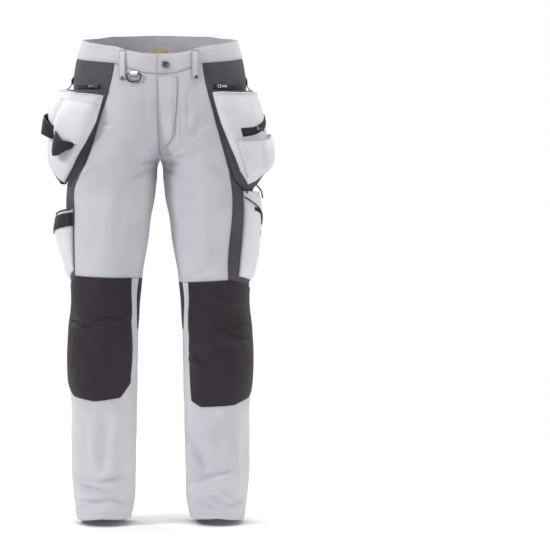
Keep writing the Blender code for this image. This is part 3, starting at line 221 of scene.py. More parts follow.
def table(rows: list[tuple[float, ...]]) -> np.ndarray:
    """A list of rows as an array of numbers."""
    return np.array(rows, dtype=float)


def curve_through(at: np.ndarray, rows: np.ndarray, column: int) -> np.ndarray:
    """A column of a table at other heights, on a smooth curve through its rows.

    The curve is the cubic whose slope at each row is the mean of the slopes beside it.

    Args:
        at: heights.
        rows: the table, its first column the heights in rising order.
        column: the column whose values are wanted.

    Returns:
        The value at each height.
    """
    heights, values = rows[:, 0], rows[:, column]
    at = np.clip(at, heights[0], heights[-1])
    slopes = np.gradient(values, heights)
    low = np.clip(np.searchsorted(heights, at) - 1, 0, len(heights) - 2)
    step = heights[low + 1] - heights[low]
    t = (at - heights[low]) / step
    return ((2 * t**3 - 3 * t**2 + 1) * values[low] + (t**3 - 2 * t**2 + t) * step * slopes[low]
            + (3 * t**2 - 2 * t**3) * values[low + 1] + (t**3 - t**2) * step * slopes[low + 1])


def unit(vectors: np.ndarray) -> np.ndarray:
    """Vectors scaled to length one."""
    return vectors / np.maximum(np.linalg.norm(vectors, axis=-1, keepdims=True), 1e-9)


def lerp(first: np.ndarray, last: np.ndarray, share: np.ndarray) -> np.ndarray:
    """Values part of the way from one to another."""
    return first + (last - first) * share


def section_at(z: np.ndarray) -> tuple[np.ndarray, np.ndarray, np.ndarray, np.ndarray]:
    """Centre, half width and half depth of the body's section: x centre, x half, y centre, y half."""
    outer, inner, front, back = (curve_through(z, SECTIONS, k) for k in (1, 2, 3, 4))
    return (outer + inner) / 2, (outer - inner) / 2, (front + back) / 2, (back - front) / 2


def row_height(side: Side, name: str, place: np.ndarray) -> np.ndarray:
    """The height of a cross seam at places round a side."""
    line = LEFT_ROWS.get(name, ROWS[name]) if side is Side.LEFT else ROWS[name]
    return np.interp(place, *table(line).T)


def bell(values: np.ndarray, middle: float, width: np.ndarray | float) -> np.ndarray:
    """1 in the middle, and falling off on both sides as a normal curve of some width."""
    return np.exp(-(((values - middle) / width) ** 2))


def dome(values: np.ndarray) -> np.ndarray:
    """0 at both ends of the fractions, 1 half way, and half a sine wave between."""
    return np.sin(math.pi * values)


def fold_depth(across: np.ndarray, height: np.ndarray, row: np.ndarray) -> np.ndarray:
    """A fold's depth, which falls off with the square of the distance from its line."""
    x, z, x_end, z_end, deep, wide = row
    run, rise = x_end - x, z_end - z
    dx, dz = across - x, height - z
    near = np.clip((dx * run + dz * rise) / math.hypot(run, rise)**2, 0, 1)
    return deep * bell(np.hypot(dx - near * run, dz - near * rise), 0, wide)


def crease_depth(across: np.ndarray, height: np.ndarray, row: np.ndarray) -> np.ndarray:
    """A crease's depth: a steep and a gentle flank, a low ridge beside it, and tapering ends."""
    x, z, x_end, z_end, deep, wide = row
    run, rise = x_end - x, z_end - z
    dx, dz = across - x, height - z
    length = math.hypot(run, rise)
    t = (dx * run + dz * rise) / length**2
    gap = (dx * rise - dz * run) / length / wide
    fade = np.clip(4 * t * (1 - t), 0, 1) ** 0.7
    shape = bell(gap, 0, np.where(gap > 0, 0.62, 1.25)) - 0.7 * bell(gap, 1.5, 1.0)
    low = 1.7 + 0.8 * np.clip((-height - KNEE) / KNEE_RUN, 0, 1)
    return low * deep * shape * fade


class Cloth:
    """The outer face of one side's body cloth, folds and creases and all."""

    def __init__(self, side: Side) -> None:
        """Keep the side whose cloth this is."""
        self.side = side

    def angle(self, place: np.ndarray, z: np.ndarray) -> np.ndarray:
        """The turn round the section at each place, straight between the long guide lines."""
        mid_x, half_x, _, _ = section_at(z)
        turns = {}
        forward = np.maximum(curve_through(z, table(INSEAM_TURN), 1), 0)
        for name in KEY_PLACES:
            if name in ("front", "back"):
                turn = np.arccos(np.clip(mid_x / half_x, -1, 1))
                turn = turn + (forward if name == "front" else -forward)
            elif name != "outseam":
                across = curve_through(z, table(KEYS[(self.side, name)]), 1)
                turn = np.arccos(np.clip((mid_x - across) / half_x, -math.cos(0.2), 1))
            else:
                continue
            turns[name] = turn if name.startswith("front") else 2 * math.pi - turn
        low = np.clip((-z - 480) / 70, 0, 1)
        middle = (turns["front_seam"] + turns["back_seam"]) / 2
        turns["outseam"] = lerp(middle, np.full_like(middle, math.pi), low)
        names, marks = list(KEY_PLACES), list(KEY_PLACES.values())
        angle = turns["front"]
        for first, last, start, end in zip(names, names[1:], marks, marks[1:]):
            share = (place - start) / (end - start)
            angle = np.where(place > start, lerp(turns[first], turns[last], share), angle)
        return angle

    def plain(self, angle: np.ndarray, z: np.ndarray) -> np.ndarray:
        """Points of the cloth without its folds."""
        mid_x, half_x, mid_y, half_y = section_at(z)
        return np.stack([self.side.value * (mid_x - half_x * np.cos(angle)),
                         mid_y - half_y * np.sin(angle), z], axis=-1)

    def outward(self, angle: np.ndarray, z: np.ndarray) -> np.ndarray:
        """The outward direction of the unfolded cloth, from small steps along it."""
        across = self.plain(angle + 0.01, z) - self.plain(angle - 0.01, z)
        along = self.plain(angle, z + 1.0) - self.plain(angle, z - 1.0)
        return self.side.value * unit(np.cross(across, along))

    def pressed_in(self, angle: np.ndarray, point: np.ndarray) -> np.ndarray:
        """How far folds and creases press the cloth in, with two slow waves between them."""
        across, height = np.abs(point[..., 0]), point[..., 2]
        facing = {Face.FRONT: np.clip(2 * np.sin(angle), 0, 1),
                  Face.BACK: np.clip(-2 * np.sin(angle), 0, 1)}
        depth = 0.35 * np.sin(height / 31 + 3 * angle) * np.sin(height / 83 + self.side.value)
        depth = depth + 0.25 * np.sin(height / 13 - 2.1 * across / 17) * np.sin(across / 29)
        for press, rows in ((fold_depth, FOLDS), (crease_depth, CREASES)):
            for face in Face:
                for row in rows[(self.side, face)]:
                    depth = depth + press(across, height, table([row])[0]) * facing[face]
        return depth

    def folded(self, angle: np.ndarray, z: np.ndarray) -> "Sheet":
        """The cloth's outer face by turn round the section and height."""
        point, normal = self.plain(angle, z), self.outward(angle, z)
        return Sheet(point - normal * self.pressed_in(angle, point)[..., None], normal)

    def at(self, place: np.ndarray, z: np.ndarray) -> "Sheet":
        """The cloth's outer face over arrays of places and heights."""
        place, z = np.broadcast_arrays(np.asarray(place, float), np.asarray(z, float))
        return self.folded(self.angle(place, z), z)

    def across_at(self, face: Face, across: np.ndarray, z: np.ndarray) -> "Sheet":
        """The cloth's outer face by distance from the centre plane and height."""
        across, z = np.broadcast_arrays(np.asarray(across, float), np.asarray(z, float))
        mid_x, half_x, _, _ = section_at(z)
        turn = np.arccos(np.clip((mid_x - across) / half_x, -1, 1))
        return self.folded(turn if face is Face.FRONT else 2 * math.pi - turn, z)


class Sheet:
    """A grid of points with their outward directions, rows down and columns across."""

    def __init__(self, points: np.ndarray, normals: np.ndarray) -> None:
        """Keep the points and directions, in millimetres."""
        self.points, self.normals = points, normals

    @property
    def shape(self) -> tuple[int, ...]:
        """Rows and columns."""
        return self.points.shape[:-1]

    def at(self, down: np.ndarray, across: np.ndarray) -> "Sheet":
        """The sheet at fractions (0 to 1) down and across it, straight between grid points."""
        down, across = np.broadcast_arrays(np.asarray(down, float), np.asarray(across, float))
        r, c = np.clip(down, 0, 1) * (self.shape[0] - 1), np.clip(across, 0, 1) * (self.shape[1] - 1)
        r0 = np.clip(np.floor(r).astype(int), 0, self.shape[0] - 2)
        c0 = np.clip(np.floor(c).astype(int), 0, self.shape[1] - 2)
        t, u = (r - r0)[..., None], (c - c0)[..., None]

        def mixed(values: np.ndarray) -> np.ndarray:
            """Values between the four grid points round each place."""
            top = lerp(values[r0, c0], values[r0, c0 + 1], u)
            foot = lerp(values[r0 + 1, c0], values[r0 + 1, c0 + 1], u)
            return lerp(top, foot, t)

        return Sheet(mixed(self.points), unit(mixed(self.normals)))

    def window(self, top: object, foot: object, first: object, last: object,
               cell: float = CELL) -> "Sheet":
        """A part of the sheet between fractions down and across, on a grid of its own.

        Args:
            top, foot: fractions down, numbers or functions of the fraction across.
            first, last: fractions across, numbers or functions of the fraction down the part.
            cell: size of a grid cell in millimetres.
        """
        high, wide = self.extent()
        rows = max(6, round(high * abs(value(foot, 0.5) - value(top, 0.5)) / cell))
        cols = max(4, round(wide * abs(value(last, 0.5) - value(first, 0.5)) / cell))
        v, u = grid(rows, cols)
        across = lerp(value(first, v), value(last, v), u)
        return self.at(lerp(value(top, across), value(foot, across), v), across)

    def down_at(self, height: float) -> float:
        """The fraction down the sheet's middle column at a height."""
        z = self.points[:, self.shape[1] // 2, 2]
        return float(np.interp(-height, -z, np.linspace(0, 1, len(z))))

    def line_at(self, *rows: tuple[float, float]) -> Callable[[np.ndarray], np.ndarray]:
        """A line across the sheet, from pairs of fraction across and height."""
        return marks(*((across, self.down_at(height)) for across, height in rows))

    def extent(self) -> tuple[float, float]:
        """Mean lengths down and across the sheet."""
        down = np.linalg.norm(np.diff(self.points, axis=0), axis=-1).sum(axis=0).mean()
        across = np.linalg.norm(np.diff(self.points, axis=1), axis=-1).sum(axis=1).mean()
        return float(down), float(across)

    def raised(self, height: object) -> "Sheet":
        """The same grid moved out by a height, one number or one for each point."""
        height = np.broadcast_to(np.asarray(height, float), self.shape)[..., None]
        return Sheet(self.points + self.normals * height, self.normals)

    def renewed(self) -> "Sheet":
        """The same grid with directions from its own shape, on the side they were."""
        down, right = np.gradient(self.points, axis=0), np.gradient(self.points, axis=1)
        made = unit(np.cross(down, right))
        facing = np.sign(np.sum(made * self.normals, axis=-1, keepdims=True))
        return Sheet(self.points, made * np.where(facing == 0, 1, facing))

    def spread(self) -> tuple[np.ndarray, np.ndarray]:
        """Fractions of the true length down and across the grid, from 0 to 1."""
        down, across = self.lengths()
        return (down / np.maximum(down[-1:], 1e-6), across / np.maximum(across[:, -1:], 1e-6))

    def lengths(self) -> tuple[np.ndarray, np.ndarray]:
        """Lengths along the cloth from the first row and from the first column."""
        down = np.zeros(self.shape)
        down[1:] = np.cumsum(np.linalg.norm(np.diff(self.points, axis=0), axis=-1), axis=0)
        across = np.zeros(self.shape)
        across[:, 1:] = np.cumsum(np.linalg.norm(np.diff(self.points, axis=1), axis=-1), axis=1)
        return down, across

    def edge_gap(self) -> np.ndarray:
        """How far each point lies from the nearest edge of the grid."""
        down, across = self.lengths()
        return np.minimum(np.minimum(down, down[-1:] - down),
                          np.minimum(across, across[:, -1:] - across))

    def area(self) -> float:
        """The grid's area in square metres."""
        first, last = np.diff(self.points, axis=0)[:, :-1], np.diff(self.points, axis=1)[:-1]
        return float(np.linalg.norm(np.cross(first, last), axis=-1).sum()) * MM**2


def value(wanted: object, at: object) -> np.ndarray:
    """A number, or what a function gives at some fractions."""
    return np.asarray(wanted(np.asarray(at, float)) if callable(wanted) else wanted, float)


def stations(count: int) -> np.ndarray:
    """Fractions from 0 to 1 in even steps, with closer ones beside both ends."""
    even = np.linspace(0, 1, count + 1)
    return np.sort(np.concatenate([even, [0.25 / count, 1 - 0.25 / count]]))


def grid(rows: int, cols: int) -> list[np.ndarray]:
    """Fractions down and across a grid, two arrays of its shape."""
    return np.meshgrid(stations(rows), stations(cols), indexing="ij")


def run_lengths(points: np.ndarray) -> np.ndarray:
    """Lengths along a line of points from its first one."""
    return np.concatenate([[0], np.cumsum(np.linalg.norm(np.diff(points, axis=0), axis=-1))])


def sampled(wanted: np.ndarray, lengths: np.ndarray, values: np.ndarray) -> np.ndarray:
    """A line's points or directions at some lengths along it."""
    return np.stack([np.interp(wanted, lengths, values[:, k]) for k in range(3)], axis=-1)


def ring_quads(rows: int, around: int) -> np.ndarray:
    """The faces between closed rings of points, four corner numbers each."""
    number = np.arange(rows * around).reshape(rows, around)
    after = np.roll(number, -1, axis=1)
    return np.stack([number[:-1], number[1:], after[1:], after[:-1]], axis=-1).reshape(-1, 4)


def in_triangles(quads: np.ndarray) -> np.ndarray:
    """Faces of four corners as two triangles each, all first halves before the others."""
    return np.concatenate([quads[:, [0, 1, 2]], quads[:, [0, 2, 3]]])


def marks(*rows: tuple[float, float]) -> Callable[[np.ndarray], np.ndarray]:
    """A function with straight pieces between pairs of place and value."""
    return lambda at: np.interp(at, *table(list(rows)).T)


def grid_faces(rows: int, cols: int) -> np.ndarray:
    """The four corner numbers of each cell of a grid."""
    corner = np.arange(rows * cols).reshape(rows, cols)
    return np.stack([corner[:-1, :-1], corner[1:, :-1], corner[1:, 1:], corner[:-1, 1:]],
                    axis=-1).reshape(-1, 4)


def mesh_object(name: str, vertices: np.ndarray, faces: np.ndarray, uv: np.ndarray | None = None,
                fields: dict[str, np.ndarray] | None = None) -> bpy.types.Object:
    """A mesh object from arrays, its faces turned outwards.

    Args:
        name: the object's name.
        vertices: points in millimetres.
        faces: corner numbers, each row one face.
        uv: a pair for each vertex, in metres.
        fields: numbers for each vertex, by name.

    Returns:
        The object, linked into the scene.
    """
    corners = vertices[faces]
    volume = np.sum(corners[:, 0] * np.cross(corners[:, 1], corners[:, 2]))
    if faces.shape[1] == 4:
        volume += np.sum(corners[:, 0] * np.cross(corners[:, 2], corners[:, 3]))
    if volume < 0:
        faces = faces[:, ::-1]
    mesh = bpy.data.meshes.new(name)
    mesh.from_pydata((vertices * MM).tolist(), [], faces.tolist())
    if uv is not None:
        layer = mesh.uv_layers.new(name="cloth")
        layer.data.foreach_set("uv", uv[faces.ravel()].astype(np.float32).ravel())
    for title, numbers in (fields or {}).items():
        kept = mesh.attributes.new(title, "FLOAT", "POINT")
        kept.data.foreach_set("value", numbers.astype(np.float32).ravel())
    mesh.shade_smooth()
    mesh.set_sharp_from_angle(angle=math.radians(50))
    made = bpy.data.objects.new(name, mesh)
    bpy.context.scene.collection.objects.link(made)
    return made


@dataclass(frozen=True)
class Held:
    """What a piece stands for and takes its finish from."""

    finish: str
    slot: str
    replaces: tuple[str, ...] = ()
    body: str = ROOT


def settle(piece: bpy.types.Object, held: Held) -> bpy.types.Object:
    """Give a finished piece its finish, its body and the nodes that it stands for."""
    piece.data.materials.clear()
    piece.data.materials.append(FINISHES[held.finish])
    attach(piece, held.body)
    if held.replaces:
        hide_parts(*held.replaces)
    LOG.info("%s: %d faces, %s", piece.name, len(getattr(piece.data, "polygons", [])), held.finish)
    return piece


def cloth_wall(name: str, outer: Sheet, thickness: float, held: Held,
               cut: bool = True, soft_edge: float = 0.5) -> bpy.types.Object:
    """A closed wall of cloth under a grid of outer points.

    The outer face rolls in by a little at its edges, and the inner face lies a wall's
    thickness below it.

    Args:
        name: the piece's name.
        outer: the outer face.
        thickness: the wall, in millimetres.
        held: its finish and nodes.
        cut: whether a sheet size is worked out for it; the size is not used.
        soft_edge: how far the outer face rolls in at its edge.
    """
    gap = outer.edge_gap()
    rolled = outer.raised(-soft_edge * bell(gap, 0, 1.6) + 0.12 * bell(gap, 5, 2.5))
    inner = outer.raised(-thickness)
    rows, cols = outer.shape
    faces = grid_faces(rows, cols)
    count = rows * cols
    number = np.arange(count).reshape(rows, cols)
    rim = np.concatenate([number[0, :-1], number[:-1, -1], number[-1, :0:-1], number[:0:-1, 0]])
    after = np.roll(rim, -1)
    sides = np.stack([rim, after, after + count, rim + count], axis=-1)
    down, across = outer.lengths()
    uv = np.stack([across - across[:, -1:] / 2, -down], axis=-1).reshape(-1, 2) * MM
    bent = np.clip(np.linalg.norm(outer.renewed().normals - outer.normals, axis=-1), 0, 1)
    piece = mesh_object(
        name, np.concatenate([rolled.points.reshape(-1, 3), inner.points.reshape(-1, 3)]),
        np.concatenate([faces, faces[:, ::-1] + count, sides]), np.concatenate([uv, uv]),
        {"edge": np.tile(gap.ravel(), 2), "bent": np.tile(bent.ravel(), 2)})
    settle(piece, held)
    if cut:
        high, wide = outer.extent()
        area = outer.area()
        size = (max(wide, LEAST_SHEET) * MM, max(high, LEAST_SHEET) * MM)
        if area > 0.999 * size[0] * size[1]:
            size = (size[0], area / 0.999 / size[0])
    return piece


def piece_of(name: str, outer: Sheet, thickness: float, look: tuple[str, str],
             soft_edge: float = 0.5) -> None:
    """A wall of cloth that stands for the node of its own name, in a finish."""
    cloth_wall(f"cloth_{name}", outer, thickness, Held(*look, (name,)),
               soft_edge=soft_edge)


class Signal:
    """A shader socket that adds and multiplies like a number."""

    def __init__(self, graph: "Graph", socket: bpy.types.NodeSocket) -> None:
        """Keep the graph and the socket."""
        self.graph, self.socket = graph, socket

    def math(self, operation: str, *others: object) -> "Signal":
        """The result of a Math node on this value and others."""
        made = self.graph.node("ShaderNodeMath", {"operation": operation},
                               dict(enumerate((self, *others))))
        return Signal(self.graph, made.outputs[0])

    def __add__(self, other: object) -> "Signal":
        """This value plus another."""
        return self.math("ADD", other)

    def __sub__(self, other: object) -> "Signal":
        """This value less another."""
        return self.math("SUBTRACT", other)

    def __rsub__(self, other: object) -> "Signal":
        """A number less this value."""
        return (self * -1.0) + other

    def __mul__(self, other: object) -> "Signal":
        """This value times another."""
        return self.math("MULTIPLY", other)

    __radd__, __rmul__ = __add__, __mul__

    def wave(self) -> "Signal":
        """The sine of this value."""
        return self.math("SINE")

    def ramp(self, low: float, high: float) -> "Signal":
        """0 below one value, 1 above another, and smooth between."""
        made = self.graph.node("ShaderNodeMapRange", {"interpolation_type": "SMOOTHSTEP"},
                               {"Value": self, "From Min": low, "From Max": high})
        return Signal(self.graph, made.outputs[0])


class Graph:
    """The node tree of one material."""

    def __init__(self, name: str, **constants: object) -> None:
        """Start a material whose shader has some constant settings."""
        self.material = bpy.data.materials.new(name)
        self.material.use_nodes = True
        self.shader = self.material.node_tree.nodes["Principled BSDF"]
        for title, number in constants.items():
            self.shader.inputs[title.replace("_", " ")].default_value = number
        coordinates = self.node("ShaderNodeTexCoord", {}, {})
        self.place = coordinates.outputs["Object"]
        uv = self.node("ShaderNodeUVMap", {"uv_map": "cloth"}, {})
        split = self.node("ShaderNodeSeparateXYZ", {}, {0: uv.outputs[0]})
        self.u, self.v = Signal(self, split.outputs[0]), Signal(self, split.outputs[1])

    def node(self, kind: str, settings: dict[str, object], sockets: dict[object, object]
             ) -> bpy.types.Node:
        """A node of a type, with its settings and what goes into its sockets."""
        made = self.material.node_tree.nodes.new(kind)
        for title, setting in settings.items():
            setattr(made, title, setting)
        for title, given in sockets.items():
            if isinstance(given, Signal):
                given = given.socket
            if isinstance(given, bpy.types.NodeSocket):
                self.material.node_tree.links.new(given, made.inputs[title])
            else:
                made.inputs[title].default_value = given
        return made

    def noise(self, scale: float, detail: float = 3.0, roughness: float = 0.55,
              stretch: tuple[float, float, float] = (1, 1, 1)) -> Signal:
        """Cloudy noise in the object's own space, its scale in lumps a metre."""
        moved = self.node("ShaderNodeVectorMath", {"operation": "MULTIPLY"},
                          {0: self.place, 1: stretch})
        made = self.node("ShaderNodeTexNoise", {},
                         {"Vector": moved.outputs[0], "Scale": scale, "Detail": detail,
                          "Roughness": roughness})
        return Signal(self, made.outputs[0])

    def field(self, name: str) -> Signal:
        """A number that each vertex carries."""
        return Signal(self, self.node("ShaderNodeAttribute", {"attribute_name": name}, {}).outputs["Fac"])

    def between(self, factor: Signal, first: bpy.types.NodeSocket | tuple[float, ...],
                last: tuple[float, ...]) -> bpy.types.NodeSocket:
        """A colour part of the way to another, from one or from another node's."""
        start = first if isinstance(first, bpy.types.NodeSocket) else (*first, 1.0)
        made = self.node("ShaderNodeMix", {"data_type": "RGBA"}, {0: factor, 6: start, 7: (*last, 1.0)})
        return made.outputs[2]

    def bump(self, height: Signal, distance: float, strength: float = 1.0,
             under: bpy.types.NodeSocket | None = None) -> bpy.types.NodeSocket:
        """A direction tilted by a height, the distance in metres at height one."""
        sockets = {"Height": height, "Distance": distance, "Strength": strength}
        if under is not None:
            sockets["Normal"] = under
        return self.node("ShaderNodeBump", {}, sockets).outputs[0]

    def done(self, **fed: object) -> bpy.types.Material:
        """Feed the shader's varying sockets and give the material."""
        for title, given in fed.items():
            socket = given.socket if isinstance(given, Signal) else given
            self.material.node_tree.links.new(socket, self.shader.inputs[title.replace("_", " ")])
        return self.material


class Weave(Enum):
    """How a cloth's threads cross."""

    TWILL = "twill"
    PLAIN = "plain"
    KNIT = "knit"
    RIB = "rib"


@dataclass(frozen=True)
class ClothFinish:
    """A woven or knitted cloth: its colours, thread and hand."""

    name: str
    light: tuple[float, float, float]
    dark: tuple[float, float, float]
    weave: Weave
    pitch: float               # threads' repeat in metres
    relief: float              # height of the threads in metres
    crumple: float             # height of the fine crumpling in metres
    roughness: float
    sheen: float
    fleck: float = 0.25        # how much the threads differ in colour

    def made(self) -> bpy.types.Material:
        """The material: thread relief on the cloth's own lengths over fine crumpling."""
        graph = Graph(self.name, Sheen_Weight=self.sheen, Sheen_Roughness=0.45,
                      Specular_IOR_Level=0.25)
        turn = 2 * math.pi / self.pitch
        u, v = graph.u * turn, graph.v * turn
        wander = graph.noise(1 / (self.pitch * 9), 2) * 1.6
        if self.weave is Weave.TWILL:
            thread = (u + v + wander).wave() * 0.7 + (u * 2 - v).wave() * 0.3
        elif self.weave is Weave.PLAIN:
            thread = (u + wander).wave() * (v + wander).wave()
        elif self.weave is Weave.KNIT:
            thread = (u.wave() * 1.5 + v).wave() * 0.6 + u.wave() * 0.4
        else:
            thread = v.wave() * 0.35 + (u * 0.5).wave() * 0.65
        cloud, speck = graph.noise(9, 4), graph.noise(1 / (self.pitch * 2.2), 3, 0.7)
        tone = (cloud - 0.5) * 0.9 + (speck - 0.5) * self.fleck * 2 + thread * 0.08 + 0.5
        base = graph.between(tone.ramp(0.05, 0.95), self.dark, self.light)
        seam = 1.0 - graph.field("edge").ramp(0.0, 3.2)
        base = graph.between(seam * 0.35, base, tuple(0.55 * part for part in self.dark))
        rough = (cloud - 0.5) * 0.12 + self.roughness + thread * 0.03
        folds = graph.noise(42, 5, 0.62, (1.0, 1.0, 1.5)) + graph.noise(140, 3, 0.6) * 0.35
        soft = graph.bump(folds, self.crumple, 0.9)
        return graph.done(Base_Color=base, Roughness=rough,
                          Normal=graph.bump(thread + speck * 0.8, self.relief, 0.8, soft))


@dataclass(frozen=True)
class HardFinish:
    """Moulded plastic or metal: its colours, grain and gloss."""

    name: str
    light: tuple[float, float, float]
    dark: tuple[float, float, float]
    metallic: float
    roughness: float
    grain: float               # size of the surface grain in metres
    relief: float
    brushed: bool = False

    def made(self) -> bpy.types.Material:
        """The material: fine grain, rubbed in places, with a faint coat on plastic."""
        graph = Graph(self.name, Metallic=self.metallic, Coat_Roughness=0.35,
                      Coat_Weight=0.0 if self.metallic else 0.08)
        stretch = (1.0, 1.0, 0.12) if self.brushed else (1.0, 1.0, 1.0)
        grain, rubbed = graph.noise(1 / self.grain, 4, 0.6, stretch), graph.noise(55, 5, 0.65)
        base = graph.between((rubbed * 0.7 + grain * 0.3).ramp(0.32, 0.68), self.dark, self.light)
        rough = (rubbed - 0.5) * 0.25 + (grain - 0.5) * 0.15 + self.roughness
        return graph.done(Base_Color=base, Roughness=rough,
                          Normal=graph.bump(grain, self.relief, 0.7))


@dataclass(frozen=True)
class ThreadFinish:
    """Sewing thread, piping and cord: a twisted strand."""

    name: str
    light: tuple[float, float, float]
    dark: tuple[float, float, float]
    roughness: float = 0.7
    twist: float = 700.0       # turns a metre

    def made(self) -> bpy.types.Material:
        """The material: fine slanting bands and lint."""
        graph = Graph(self.name, Sheen_Weight=0.2, Specular_IOR_Level=0.3)
        bands, lint = graph.noise(self.twist, 2, 0.5, (1, 1, 2.4)), graph.noise(2600, 2)
        tone = (bands * 0.7 + lint * 0.3).ramp(0.3, 0.7)
        base = graph.between(tone, self.dark, self.light)
        return graph.done(Base_Color=base, Roughness=(lint - 0.5) * 0.2 + self.roughness,
                          Normal=graph.bump(bands, 0.0003, 0.7))


FINISH_LIST = (
    ClothFinish("white_twill", (0.635, 0.63, 0.67), (0.50, 0.495, 0.54), Weave.TWILL, 0.0016,
                0.00012, 0.0018, 0.86, 0.12, 0.1),
    # A lighter copy of the white twill, painted light: the same cloth coloured as more lit, for the
    # pockets and bags.
    ClothFinish("bright_twill", (0.79, 0.79, 0.82), (0.66, 0.66, 0.70), Weave.TWILL, 0.0016,
                0.00012, 0.0016, 0.84, 0.12, 0.1),
    ClothFinish("dark_nubby", (0.115, 0.108, 0.122), (0.05, 0.046, 0.055), Weave.PLAIN, 0.0015,
                0.00022, 0.0010, 0.8, 0.1, 0.5),
    ClothFinish("black_knit", (0.03, 0.025, 0.028), (0.014, 0.011, 0.013), Weave.KNIT, 0.0018,
                0.00018, 0.0010, 0.82, 0.08, 0.3),
    ClothFinish("anthracite", (0.030, 0.021, 0.029), (0.015, 0.010, 0.015), Weave.PLAIN, 0.0012,
                0.00014, 0.0020, 0.5, 0.05, 0.25),
    ClothFinish("black_webbing", (0.028, 0.027, 0.031), (0.012, 0.011, 0.013), Weave.RIB, 0.0022,
                0.0003, 0.0004, 0.62, 0.1, 0.3),
    ClothFinish("yellow_label", (0.78, 0.62, 0.06), (0.6, 0.45, 0.04), Weave.RIB, 0.0008, 0.0001,
                0.0003, 0.6, 0.1, 0.1),
    ClothFinish("olive_tab", (0.2, 0.2, 0.17), (0.12, 0.12, 0.1), Weave.PLAIN, 0.001, 0.0001,
                0.0004, 0.8, 0.1, 0.2),
    HardFinish("black_plastic", (0.035, 0.035, 0.04), (0.018, 0.018, 0.021), 0.0, 0.42, 0.0008,
               0.00012),
    HardFinish("grey_plastic", (0.075, 0.075, 0.085), (0.045, 0.045, 0.05), 0.0, 0.45, 0.0008,
               0.00012),
    HardFinish("dark_metal", (0.2, 0.2, 0.21), (0.08, 0.08, 0.085), 1.0, 0.34, 0.0006, 0.0001,
               True),
    HardFinish("silver_metal", (0.62, 0.62, 0.63), (0.3, 0.3, 0.31), 1.0, 0.3, 0.0006, 0.0001,
               True),
    HardFinish("nickel", (0.3, 0.29, 0.29), (0.12, 0.115, 0.115), 1.0, 0.3, 0.0005, 0.00008, True),
    ThreadFinish("white_thread", (0.78, 0.78, 0.8), (0.5, 0.5, 0.53)),
    # Dark grey for the stitches on the white cloth, whose thread is white: painted shade along the sunk
    # stitch lines.
    ThreadFinish("pale_thread", (0.36, 0.36, 0.38), (0.25, 0.25, 0.27)),
    ThreadFinish("grey_thread", (0.30, 0.30, 0.32), (0.17, 0.17, 0.19)),
    ThreadFinish("black_cord", (0.03, 0.03, 0.033), (0.01, 0.01, 0.011), 0.75, 420.0),
)
FINISHES = {finish.name: finish.made() for finish in FINISH_LIST}


CLOTHS = {side: Cloth(side) for side in Side}


def body_patch(face: Face, x: np.ndarray, z: np.ndarray) -> Sheet:
    """The body cloth's outer face at signed distances from the centre plane and heights."""
    x, z = np.broadcast_arrays(np.asarray(x, float), np.asarray(z, float))
    right = CLOTHS[Side.RIGHT].across_at(face, -x, z)
    left = CLOTHS[Side.LEFT].across_at(face, x, z)
    on_left = (x >= 0)[..., None]
    return Sheet(np.where(on_left, left.points, right.points),
                 np.where(on_left, left.normals, right.normals))


def rectangle(face: Face, middle: float, width: float, top: float, foot: float,
              twist: float = 0.0, cell: float = 3.0) -> Sheet:
    """A small strip of the body cloth, its foot moved sideways by a twist."""
    rows, cols = max(6, round((top - foot) / cell)), max(4, round(width / cell))
    v, u = grid(rows, cols)
    return body_patch(face, middle + (u - 0.5) * width + twist * v, lerp(top, foot, v))


